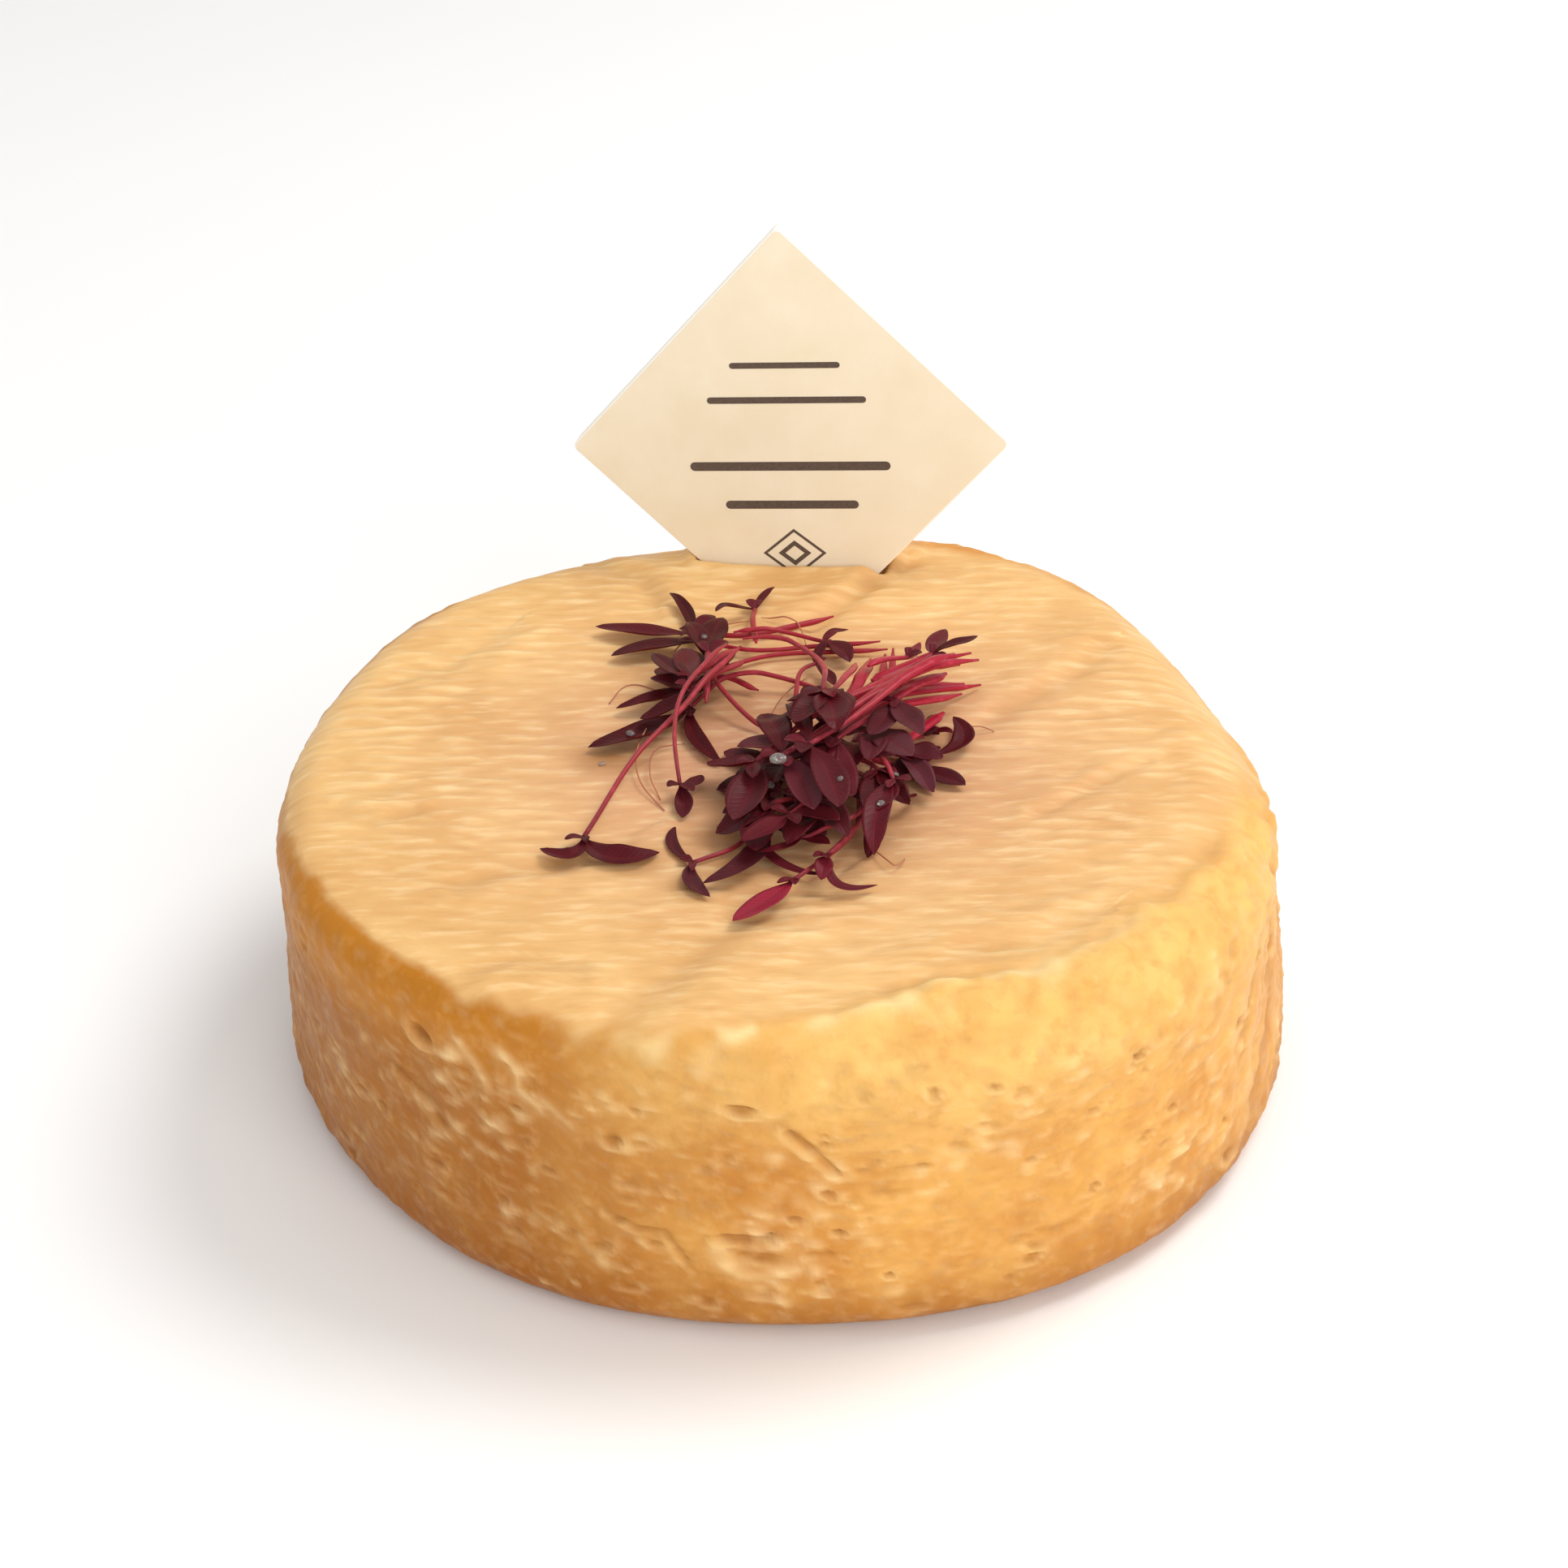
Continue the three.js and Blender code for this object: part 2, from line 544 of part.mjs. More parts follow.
// Adds one named piece in its own material.
function addPiece(group, name, geometry, colour, roughness) {
  const material = new THREE.MeshStandardMaterial({ color: colour, roughness, metalness: 0 });
  const mesh = new THREE.Mesh(geometry, material);
  mesh.name = name;
  group.add(mesh);
  return mesh;
}

const part = new THREE.Group();
addPiece(part, 'cheese_wheel', makeWheel(), rindColour, 0.5);
addPiece(part, 'label_card', makeCard(0), cardColour, 0.7).applyMatrix4(cardPlace());

const garnish = new THREE.Group();
part.add(garnish);
const field = makeField();
seedlings.forEach((seedling, k) => {
  const laid = settleSeedling(field, seedling);
  const name = `seedling_${String(k + 1).padStart(2, '0')}`;
  addPiece(garnish, name, makeSeedling(laid), seedlingColour, 0.45);
  [laid.stem, ...laid.blades].forEach((limb) => stampLimb(field, limb));
});

export default part;
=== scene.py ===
import itertools
import math
import random

import bpy
import numpy as np
from mathutils import Matrix, Vector
from mathutils.bvhtree import BVHTree


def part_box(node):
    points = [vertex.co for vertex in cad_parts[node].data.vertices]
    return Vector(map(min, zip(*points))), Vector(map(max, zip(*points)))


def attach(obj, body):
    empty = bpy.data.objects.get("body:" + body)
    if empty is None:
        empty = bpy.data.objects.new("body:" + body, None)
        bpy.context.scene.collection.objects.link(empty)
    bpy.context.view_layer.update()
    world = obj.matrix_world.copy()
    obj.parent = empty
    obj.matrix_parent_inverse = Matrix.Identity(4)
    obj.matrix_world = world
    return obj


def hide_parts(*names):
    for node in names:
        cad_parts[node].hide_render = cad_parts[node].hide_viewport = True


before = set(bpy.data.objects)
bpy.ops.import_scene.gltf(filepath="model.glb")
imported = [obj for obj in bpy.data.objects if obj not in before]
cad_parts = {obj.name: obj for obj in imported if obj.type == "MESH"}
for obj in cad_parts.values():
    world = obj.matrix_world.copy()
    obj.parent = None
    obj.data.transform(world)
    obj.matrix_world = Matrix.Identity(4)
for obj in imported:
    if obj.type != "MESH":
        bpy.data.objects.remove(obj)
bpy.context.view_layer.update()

# A washed-rind cheese wheel with a card stood in it and red seedlings on top.
# Sizes here are in millimetres and turn to metres when a mesh is made.
mm = 0.001


def hexLinear(text):
    # an sRGB hex colour as linear values
    parts = [int(text[i:i + 2], 16) / 255 for i in (1, 3, 5)]
    return [p / 12.92 if p <= 0.04045 else ((p + 0.055) / 1.055) ** 2.4 for p in parts] + [1.0]


def addNode(tree, kind, settings=None, links=None):
    # settings name a property or an input of the node, links name its inputs
    node = tree.nodes.new(kind)
    for name, value in (settings or {}).items():
        if isinstance(name, str) and hasattr(node, name):
            setattr(node, name, value)
        else:
            node.inputs[name].default_value = value
    for name, source in (links or {}).items():
        tree.links.new(source, node.inputs[name])
    return node


def newMaterial(name):
    material = bpy.data.materials.new(name)
    material.use_nodes = True
    material.node_tree.nodes.clear()
    return material, material.node_tree


def addObject(name, points, faces, materials, faceSlots=None, values=None):
    # points in mm; values become float attributes that the materials read
    mesh = bpy.data.meshes.new(name)
    mesh.from_pydata((np.asarray(points) * mm).tolist(), [], faces)
    for material in materials:
        mesh.materials.append(material)
    if faceSlots is not None:
        mesh.polygons.foreach_set("material_index", faceSlots)
    for key, numbers in (values or {}).items():
        layer = mesh.attributes.new(key, "FLOAT", "POINT")
        layer.data.foreach_set("value", np.asarray(numbers, np.float32))
    mesh.shade_smooth()
    mesh.update()
    piece = bpy.data.objects.new(name, mesh)
    bpy.context.scene.collection.objects.link(piece)
    return piece


def smoothStep(low, high, value):
    t = np.clip((value - low) / (high - low), 0, 1)
    return t * t * (3 - 2 * t)


def softNoise(points, size, seed=0):
    # smooth noise from about -1 to 1 with a hump every size
    scaled = np.asarray(points, float) / size + 31.7 * seed + 5000
    cell = np.floor(scaled).astype(np.int64)
    part = scaled - cell
    ease = part ** 3 * (part * (part * 6 - 15) + 10)
    total = np.zeros(len(scaled))
    for corner in itertools.product((0, 1), repeat=3):
        spot = cell + corner
        mixed = spot[:, 0] * 73856093 ^ spot[:, 1] * 19349663 ^ spot[:, 2] * 83492791
        mixed = (mixed ^ (mixed >> 13)) * 1274126177 & 0xffffff
        turn = (mixed & 0xfff) / 4096 * 2 * math.pi
        tall = (mixed >> 12) / 2048 - 1
        flat = np.sqrt(1 - tall ** 2)
        slope = np.stack([flat * np.cos(turn), flat * np.sin(turn), tall], 1)
        weight = np.prod(np.where(corner, ease, 1 - ease), 1)
        total += weight * ((part - corner) * slope).sum(1)
    return total * 1.7


def lineDistance(u, v, line):
    # distance to a line of points, and which side of it each spot lies on
    nearest = np.full(len(u), 1e9)
    side = np.zeros(len(u))
    for (u0, v0), (u1, v1) in zip(line, line[1:]):
        du, dv = u1 - u0, v1 - v0
        t = np.clip(((u - u0) * du + (v - v0) * dv) / (du * du + dv * dv), 0, 1)
        away = np.hypot(u - u0 - t * du, v - v0 - t * dv)
        turn = (du * (v - v0) - dv * (u - u0)) / math.hypot(du, dv)
        closer = away < nearest
        nearest = np.where(closer, away, nearest)
        side = np.where(closer, turn, side)
    return nearest, side


def treeOf(piece):
    return BVHTree.FromObject(piece, bpy.context.evaluated_depsgraph_get())


view = {
    "place": (0, -402.56, 286.43),
    "target": (1.1, 0, 45.4),
    "lens": 71.72,
    "roll": -3,
}


def addCamera():
    place = Vector(view["place"])
    forward = (Vector(view["target"]) - place).normalized()
    right = forward.cross(Vector((0, 0, 1))).normalized()
    up = right.cross(forward)
    cosRoll, sinRoll = math.cos(math.radians(view["roll"])), math.sin(math.radians(view["roll"]))
    axisX = right * cosRoll + up * sinRoll
    axisY = up * cosRoll - right * sinRoll
    lens = bpy.data.cameras.new("camera")
    lens.lens = view["lens"]
    lens.clip_start = 0.01
    camera = bpy.data.objects.new("camera", lens)
    turn = Matrix((axisX, axisY, -forward)).transposed()
    camera.matrix_world = Matrix.Translation(place * mm) @ turn.to_4x4()
    bpy.context.scene.collection.objects.link(camera)
    bpy.context.scene.camera = camera


studio = {
    # name: place in metres, size in metres, watts, colour
    "keyRight": ((0.5, 0.15, 0.9), 0.5, 5.0, "#fffcf8"),
    "fillFront": ((0.42, -0.95, 0.55), 0.7, 5.4, "#fffcf9"),
    "roomLight": ("#ffffff", 0.68),
}


def addLight(name):
    place, size, watts, colour = studio[name]
    lamp = bpy.data.lights.new(name, "AREA")
    lamp.shape = "DISK"
    lamp.size = size
    lamp.energy = watts
    lamp.color = hexLinear(colour)[:3]
    light = bpy.data.objects.new(name, lamp)
    light.location = place
    light.rotation_euler = (Vector((0, 0, 0.04)) - Vector(place)).to_track_quat("-Z", "Y").to_euler()
    bpy.context.scene.collection.objects.link(light)


def addStudio():
    for name in ("keyRight", "fillFront"):
        addLight(name)
    colour, strength = studio["roomLight"]
    world = bpy.data.worlds.new("studio")
    world.use_nodes = True
    background = world.node_tree.nodes["Background"]
    background.inputs["Color"].default_value = hexLinear(colour)
    background.inputs["Strength"].default_value = strength
    bpy.context.scene.world = world
    bpy.context.scene.view_settings.view_transform = "Standard"

    # painted board: flat white emulsion, faintly uneven
    material, tree = newMaterial("paintedBoard")
    spots = addNode(tree, "ShaderNodeTexCoord")
    uneven = addNode(tree, "ShaderNodeTexNoise", {"Scale": 6.0}, {"Vector": spots.outputs["Object"]})
    tint = addNode(tree, "ShaderNodeMix", {"data_type": "RGBA", 6: hexLinear("#f9f9f9"),
                                           7: hexLinear("#fcfcfb")}, {0: uneven.outputs["Fac"]})
    paint = addNode(tree, "ShaderNodeBsdfPrincipled", {"Roughness": 0.85},
                    {"Base Color": tint.outputs[2]})
    addNode(tree, "ShaderNodeOutputMaterial", None, {"Surface": paint.outputs[0]})
    half = 4000
    corners = [(-half, -half, 0), (half, -half, 0), (half, half, 0), (-half, half, 0)]
    floor = addObject("floor", corners, [(0, 1, 2, 3)], [material])


def readCard():
    points = [v.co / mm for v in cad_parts["label_card"].data.vertices]
    low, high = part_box("label_card")
    top = max(points, key=lambda p: p.z)
    bottom = min(points, key=lambda p: p.z)
    left = min(points, key=lambda p: p.x)
    right = max(points, key=lambda p: p.x)
    up = (top - bottom).normalized()
    normal = (right - left).cross(up).normalized()
    if normal.y > 0:
        normal = -normal
    across = up.cross(normal)
    centre = (low + high) / 2 / mm
    depth = [(p - centre).dot(normal) for p in points]
    reach = max((p - centre).dot(up) for p in points)
    return {"centre": centre, "up": up, "across": across, "normal": normal,
            "thickness": max(depth) - min(depth), "reach": reach}


wheel = {
    "columns": 160,
    "rows": 200,
    "skirtRows": 88,
    "skirtInset": 13,
    # how round the top edge is at each bearing, in mm: crisp at the left, puffy at the right
    "rimRound": [(-180, 6.5), (-150, 5.5), (-125, 5.5), (-105, 7), (-85, 9), (-60, 11.5),
                 (-30, 12.5), (0, 11.5), (60, 10.5), (120, 10), (150, 8.5)],
    "footRound": 6,
    # where the cloth-marked top ends, as a distance from the middle
    "clothEdge": [(-180, 73), (-150, 72.6), (-128, 72.2), (-112, 71.2), (-98, 69.5), (-85, 68),
                  (-72, 64.5), (-60, 67), (-45, 67), (-28, 68), (0, 70), (90, 70), (150, 72)],
    # how wide that edge is, in mm: crisp at the left, blurred over the puffy rim
    "clothBlend": [(-180, 0.8), (-130, 0.8), (-105, 1.6), (-75, 4), (-30, 4), (20, 2), (120, 1)],
    "smallPits": 200,
    "flakeGroups": 60,
    "ridgeSpacing": 2.9,
    "ridgeBearing": -6,
}


def roundTheWheel(table, angle):
    # a value given at a few bearings in degrees, smoothly joined right round
    bearings = np.radians([b for b, _ in table])
    numbers = [n for _, n in table]
    bearings = np.append(bearings, bearings[0] + 2 * math.pi)
    numbers = np.append(numbers, numbers[0])
    angle = (angle - bearings[0]) % (2 * math.pi) + bearings[0]
    k = np.clip(np.searchsorted(bearings, angle, "right") - 1, 0, len(table) - 1)
    t = (angle - bearings[k]) / (bearings[k + 1] - bearings[k])
    t = t * t * (3 - 2 * t)
    return numbers[k] * (1 - t) + numbers[k + 1] * t


def readWheel():
    # the outline low and high on the wall and the slope of the top, by rays on the frame's wheel
    tree = treeOf(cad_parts["cheese_wheel"])
    low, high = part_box("cheese_wheel")
    count = 240
    outlines = []
    for height in (10, 36):
        reach = []
        for k in range(count):
            angle = k / count * 2 * math.pi
            out = Vector((math.cos(angle), math.sin(angle), 0))
            hit = tree.ray_cast(out * 0.2 + Vector((0, 0, height * mm)), -out)[0]
            reach.append(hit.xy.length / mm)
        outlines.append(np.fft.rfft(reach)[:9] / count)
    spots = [(30 * math.cos(a), 30 * math.sin(a) - 15) for a in np.linspace(0, 6, 16)]
    tops = [tree.ray_cast(Vector((x * mm, y * mm, 0.1)), Vector((0, 0, -1)))[0].z / mm
            for x, y in spots]
    rows = [(x, y, 1) for x, y in spots]
    slope = np.linalg.lstsq(np.array(rows), np.array(tops), rcond=None)[0]
    return {"outlines": outlines, "slopeX": slope[0], "slopeY": slope[1], "height": slope[2]}


def outlineAt(waves, angle):
    reach = np.full(len(angle), waves[0].real)
    for k in range(1, len(waves)):
        reach += 2 * (waves[k].real * np.cos(k * angle) - waves[k].imag * np.sin(k * angle))
    return reach


def wheelPoints(shape):
    # a grid bent into a disc for the top, and rows down the wall that share its edge
    columns, rows, skirt = wheel["columns"], wheel["rows"], wheel["skirtRows"]
    height, inset = shape["height"], wheel["skirtInset"]

    def wallReach(angle, level):
        lowLevel, highLevel = 10 / height, 36 / height
        t = (level - lowLevel) / (highLevel - lowLevel)
        return outlineAt(shape["outlines"][0], angle) * (1 - t) + outlineAt(shape["outlines"][1], angle) * t

    a, b = np.meshgrid(np.linspace(-1, 1, columns + 1), np.linspace(-1, 1, rows + 1), indexing="ij")
    u = (a * np.sqrt(1 - b * b / 2)).ravel()
    v = (b * np.sqrt(1 - a * a / 2)).ravel()
    angle = np.arctan2(v, u)
    reach = (wallReach(angle, np.ones(len(angle))) - inset) * np.hypot(u, v)
    cap = np.stack([reach * np.cos(angle), reach * np.sin(angle), np.full(len(reach), height)], 1)

    index = np.arange((columns + 1) * (rows + 1)).reshape(columns + 1, rows + 1)
    edge = list(index[:-1, 0]) + list(index[-1, :-1]) + list(index[:0:-1, -1]) + list(index[0, :0:-1])
    edgeAngle = angle[edge]
    skirtPoints = np.zeros((skirt, len(edge), 3))
    rim = roundTheWheel(wheel["rimRound"], edgeAngle)
    foot = wheel["footRound"]
    for k, bearing in enumerate(edgeAngle):
        arc = np.linspace(0, math.pi / 2, 16)
        # the section as how far in from the wall, and how high
        ins = np.concatenate([[inset], rim[k] * (1 - np.sin(arc)), foot * (1 - np.cos(arc)), [foot + 4]])
        ups = np.concatenate([[height], height - rim[k] * (1 - np.cos(arc)), foot * (1 - np.sin(arc)), [0]])
        run = np.append(0, np.cumsum(np.hypot(np.diff(ins), np.diff(ups))))
        steps = np.linspace(0, run[-1], skirt + 1)[1:]
        up = np.interp(steps, run, ups)
        out = wallReach(np.full(skirt, bearing), up / height) - np.interp(steps, run, ins)
        skirtPoints[:, k] = np.stack([out * math.cos(bearing), out * math.sin(bearing), up], 1)
    points = np.concatenate([cap, skirtPoints.reshape(-1, 3)])

    faces = []
    for i in range(columns):
        for j in range(rows):
            faces.append((index[i, j], index[i + 1, j], index[i + 1, j + 1], index[i, j + 1]))
    ring = len(edge)
    above = np.array(edge)
    for k in range(skirt):
        below = len(cap) + k * ring + np.arange(ring)
        for i in range(ring):
            j = (i + 1) % ring
            faces.append((above[i], below[i], below[j], above[j]))
        above = below
    # the flat base: fewer points on each ring inwards, closed by a fan
    outer = above
    for share in (0.8, 0.4):
        count = ring // 5 if share == 0.8 else ring // 10
        step = len(outer) // count
        picked = points[outer[::step]] * share
        inner = len(points) + np.arange(count)
        points = np.concatenate([points, picked])
        for i in range(count):
            j = (i + 1) % count
            span = [outer[(i * step + s) % len(outer)] for s in range(step, -1, -1)]
            faces.append(tuple([inner[i], inner[j]] + span))
        outer = inner
    middle = len(points)
    points = np.concatenate([points, [[0, 0, 0]]])
    for i in range(len(outer)):
        faces.append((middle, outer[(i + 1) % len(outer)], outer[i]))
    faces = [tuple(int(p) for p in face) for face in faces]

    # the top falls away to one side, as the frame's does
    share = 1 + (shape["slopeX"] * points[:, 0] + shape["slopeY"] * points[:, 1]) / height
    points[:, 2] *= share
    return points, faces


# marks on the wall: bearing in degrees, height, half width, half height, depth, tilt in degrees
pits = [
    (-132, 42.2, 1.7, 1.15, 1.2, -25), (-95.2, 41.4, 2.3, 0.75, 0.8, -4), (-109.4, 33.3, 1.3, 0.9, 0.7, 0),
    (-120.5, 35.2, 1.1, 0.5, 0.4, -15), (-86, 20.3, 0.8, 0.6, 0.7, 0), (-87, 27.4, 1.2, 0.7, 0.7, -30),
    (-79.6, 34.6, 1.5, 0.3, 0.4, 12), (-76.4, 43.9, 0.8, 0.6, 0.6, 0), (-70.3, 43.1, 0.8, 0.5, 0.5, 0),
    (-58.7, 33, 1.3, 0.5, 0.45, 20), (-53.5, 39, 1.4, 0.5, 0.8, 28), (-52.5, 36.1, 0.8, 0.4, 0.5, 10),
    (-59, 19.6, 1.0, 0.5, 0.7, 20), (-73.6, 33.7, 1.9, 1.0, 0.3, 0), (-95, 15.8, 3.2, 2.1, 0.7, -8),
    (-81, 12, 0.7, 0.6, 0.6, 0), (-88, 9.5, 0.9, 0.5, 0.5, 0), (-103, 26, 0.9, 0.5, 0.5, -10),
    (-66, 28.5, 1.0, 0.5, 0.4, 8), (-62, 44.5, 1.5, 0.7, 0.5, 15), (-141, 24, 1.2, 0.6, 0.5, -20),
    (-99.5, 30.5, 1.0, 0.5, 0.4, 0), (-90.5, 22.8, 1.1, 0.6, 0.6, -25), (-48, 26, 1.0, 0.5, 0.5, 15),
]

# cracks and ridges on the wall: half width, depth (a ridge is negative), points as bearing and height
wallLines = [
    (0.5, 0.55, [(-110.5, 20.6), (-107, 19.2), (-104.3, 19.0), (-102.9, 16), (-102, 13.4)]),
    (0.6, 0.75, [(-90.6, 37.6), (-88.4, 35), (-86.1, 31.4)]),
    (0.8, 0.9, [(-98.2, 18.8), (-95.5, 18.6), (-93, 19.4)]),
    (0.45, -0.12, [(-88, 25.4), (-89.4, 18.5), (-91, 11.6)]),
    (0.5, 0.3, [(-89.6, 16.4), (-87.6, 17), (-85.4, 15.2)]),
    (2.4, 0.4, [(-17.5, 41), (-20.5, 31), (-22, 21), (-30, 11)]),
    (1.8, 0.28, [(-23.5, 38), (-25, 27), (-29.5, 19)]),
    (2.0, 0.26, [(-29, 36), (-32.5, 28), (-33, 22)]),
    (1.9, 0.24, [(-11, 36), (-14.5, 26), (-16, 16)]),
    (0.8, -0.3, [(-126.5, 44), (-126, 42.4), (-124.4, 40.4), (-123.6, 38)]),
    (0.8, -0.35, [(-121.6, 44.6), (-119.6, 41.6), (-119.8, 38.6), (-117.6, 36.4)]),
    (0.7, -0.25, [(-116.4, 37), (-114, 34.6)]),
    (0.6, 0.4, [(-137, 33), (-133, 31), (-130.5, 27)]),
    (0.7, 0.22, [(-68, 14), (-65.5, 15.4), (-63, 14.2), (-60.5, 14.6)]),
    (0.6, 0.22, [(-84, 31.6), (-81.6, 30.4), (-79.5, 31.4), (-77.5, 31)]),
    (0.6, 0.2, [(-82.5, 27.8), (-80.4, 27), (-79, 27.6)]),
]

# creases in the top: half width, depth, which side is raised, points as x and y
topLines = [
    (1.8, 0.6, -1, [(12, -62.5), (20, -60.6), (28, -61.5), (36, -57.4),
                    (44, -52.5), (51, -44), (57, -37), (62, -28)]),
    (3.4, 0.55, -1, [(-21.5, -64), (-15, -57), (-10, -49), (-0.5, -41.5), (6, -36)]),
    (2.0, 0.8, -1, [(23, 58), (17, 51), (11, 43.4), (7, 38)]),
    (2.4, 0.5, 1, [(30, 4), (37, 10.5), (46.4, 19), (53, 28)]),
    (1.4, 0.4, 1, [(38, -20), (44, -15.6), (50.4, -9.8), (55, -7)]),
    (2.2, 0.45, -1, [(-45, -33), (-37, -30), (-29, -29.4), (-22, -24)]),
    (1.6, 0.4, 1, [(-64, -12), (-58, -16), (-53, -14)]),
    (1.8, 0.4, -1, [(-43, -55), (-36, -52), (-28, -54)]),
    (2.2, 0.45, 1, [(24, -54), (34, -52.6), (44, -45)]),
    (2.0, 0.5, 1, [(-28, 62), (-20, 55), (-18, 47)]),
    (2.4, 0.4, -1, [(-60, 24), (-50, 30), (-42, 40)]),
]

# damp brown stains and painted leaf shadows on the top: x, y, radius, strength
stainsAndShadows = [
    (-25, -0.5, 4.5, 0.9), (-9, -15, 4, 0.5), (-8.5, -24, 5, 0.8), (-7, -32, 4, 0.6),
    (-13, -37, 2.6, 0.9), (-31, -27.5, 2, 0.6), (-19, -30.5, 3.4, 0.5), (16, -20, 5, 0.35),
    (-7, 12, 5, 0.4), (3, -8, 10, 0.35), (-14, 22, 6, 0.35),
]


def dentWall(around, height, angle, wall):
    # pits, cracks and folds on the wall, with a low lip under each, and a mask that paints flakes, lips and
    # ridges pale: partly drier rind, partly painted highlight
    move = np.zeros(len(around))
    paleFlakeAndGlint = np.zeros(len(around))
    reach = 75

    def along(bearing):
        away = (angle - math.radians(bearing) + math.pi) % (2 * math.pi) - math.pi
        return away * reach

    rng = random.Random(11)
    scattered = []
    for _ in range(wheel["smallPits"]):
        wide = rng.uniform(0.6, 1.9)
        scattered.append((rng.uniform(-180, 180), rng.uniform(5, 45), wide, wide * rng.uniform(0.3, 0.6),
                          rng.uniform(0.15, 0.5), rng.uniform(-25, 25)))
    # raised flakes of dried rind, in loose groups, painted pale: partly drier rind, partly painted highlight
    for _ in range(wheel["flakeGroups"]):
        bearing, up = rng.uniform(-180, 180), rng.uniform(6, 42)
        for _ in range(12):
            wide = rng.uniform(0.6, 1.5)
            tall = wide * rng.uniform(0.45, 0.9)
            du, dv = along(bearing + rng.gauss(0, 4)), height - up - rng.gauss(0, 4)
            near = np.nonzero((np.abs(du) < 3 * wide) & (np.abs(dv) < 3 * wide))[0]
            tilt = rng.uniform(-0.5, 0.5)
            q = np.hypot((du[near] + tilt * dv[near]) / wide, (dv[near] - tilt * du[near]) / tall)
            flake = rng.uniform(0.12, 0.34) * np.exp(-q ** 2.4)
            move[near] += flake
            paleFlakeAndGlint[near] += flake * 1.5
    for bearing, up, wide, tall, depth, tilt in pits + scattered:
        du, dv = along(bearing), height - up
        near = np.nonzero((np.abs(du) < 3.5 * wide) & (np.abs(dv) < 3.5 * wide))[0]
        cosTilt, sinTilt = math.cos(math.radians(tilt)), math.sin(math.radians(tilt))
        s = (du[near] * cosTilt + dv[near] * sinTilt) / wide
        t = (dv[near] * cosTilt - du[near] * sinTilt) / tall
        q = np.hypot(s, t)
        under = 0.5 - 0.5 * t / np.maximum(q, 0.3)
        rise = 0.45 * under * np.exp(-((q - 1.6) / 0.55) ** 2)
        move[near] += depth * (rise - np.exp(-q ** 2.6))
        paleFlakeAndGlint[near] += rise * min(1, depth * 1.6)
    for wide, depth, line in wallLines:
        middle = sum(b for b, _ in line) / len(line)
        ends = [((b - middle) * math.radians(1) * reach, h) for b, h in line]
        du = along(middle)
        near = np.nonzero(np.abs(du) < 30)[0]
        away, side = lineDistance(du[near], height[near], ends)
        wave = wide * (1 + 0.45 * softNoise(around[near], 2.2, 3))
        cut = np.exp(-(away / wave) ** 2)
        rise = 0.4 * np.exp(-((away - 2 * wave) / wave) ** 2) * (side < 0)
        move[near] += -depth * cut + abs(depth) * rise
        paleFlakeAndGlint[near] += rise * abs(depth) - cut * min(depth, 0) * 1.4
    return move * wall, paleFlakeAndGlint * wall


def foldTop(around, x, y, top):
    # short ridges pressed in by the cloth, and creases across them
    turn = math.radians(wheel["ridgeBearing"])
    cosTurn, sinTurn = math.cos(turn), math.sin(turn)
    along = x * cosTurn + y * sinTurn
    across = y * cosTurn - x * sinTurn
    flat = np.stack([along, across, np.zeros(len(x))], 1)
    wander = softNoise(flat * (0.6, 1, 1), 26, 1) * 0.6 + softNoise(flat * (0.6, 1.3, 1), 9, 2) * 0.32
    phase = (across / wheel["ridgeSpacing"] + wander) * 2 * math.pi
    ridge = (0.5 + 0.5 * np.sin(phase)) ** 1.6
    broken = smoothStep(-0.3, 0.5, softNoise(flat * (0.75, 1.8, 1), 4.2, 4))
    patch = (0.7 + 0.5 * softNoise(flat, 24, 5)) * (1 - 0.45 * np.exp(-(x * x + y * y) / 34 ** 2))
    patch *= 0.3 + 0.7 * smoothStep(72, 58, np.hypot(x, y))
    fine = softNoise(flat * (0.3, 1, 1), 1.9, 6)
    move = 0.34 * ridge * broken * patch + 0.22 * fine * patch
    move += 0.45 * softNoise(flat * (1, 0.8, 1), 26, 7) + 0.14 * softNoise(flat, 11, 8)
    # painted shade along each crease, handed back beside the move
    shade = np.zeros(len(x))
    for wide, depth, raised, line in topLines:
        away, side = lineDistance(x, y, line)
        wave = wide * (1 + 0.4 * softNoise(around, 6, 9))
        cut = np.exp(-(away / wave) ** 2)
        rise = np.exp(-((away - 1.9 * wave) / (1.3 * wave)) ** 2) * (side * raised > 0)
        move += depth * (0.8 * rise - 1.1 * cut)
        shade = np.maximum(shade, cut * depth * 0.6)
    return move * top, shade * top, (ridge * broken * patch) * top


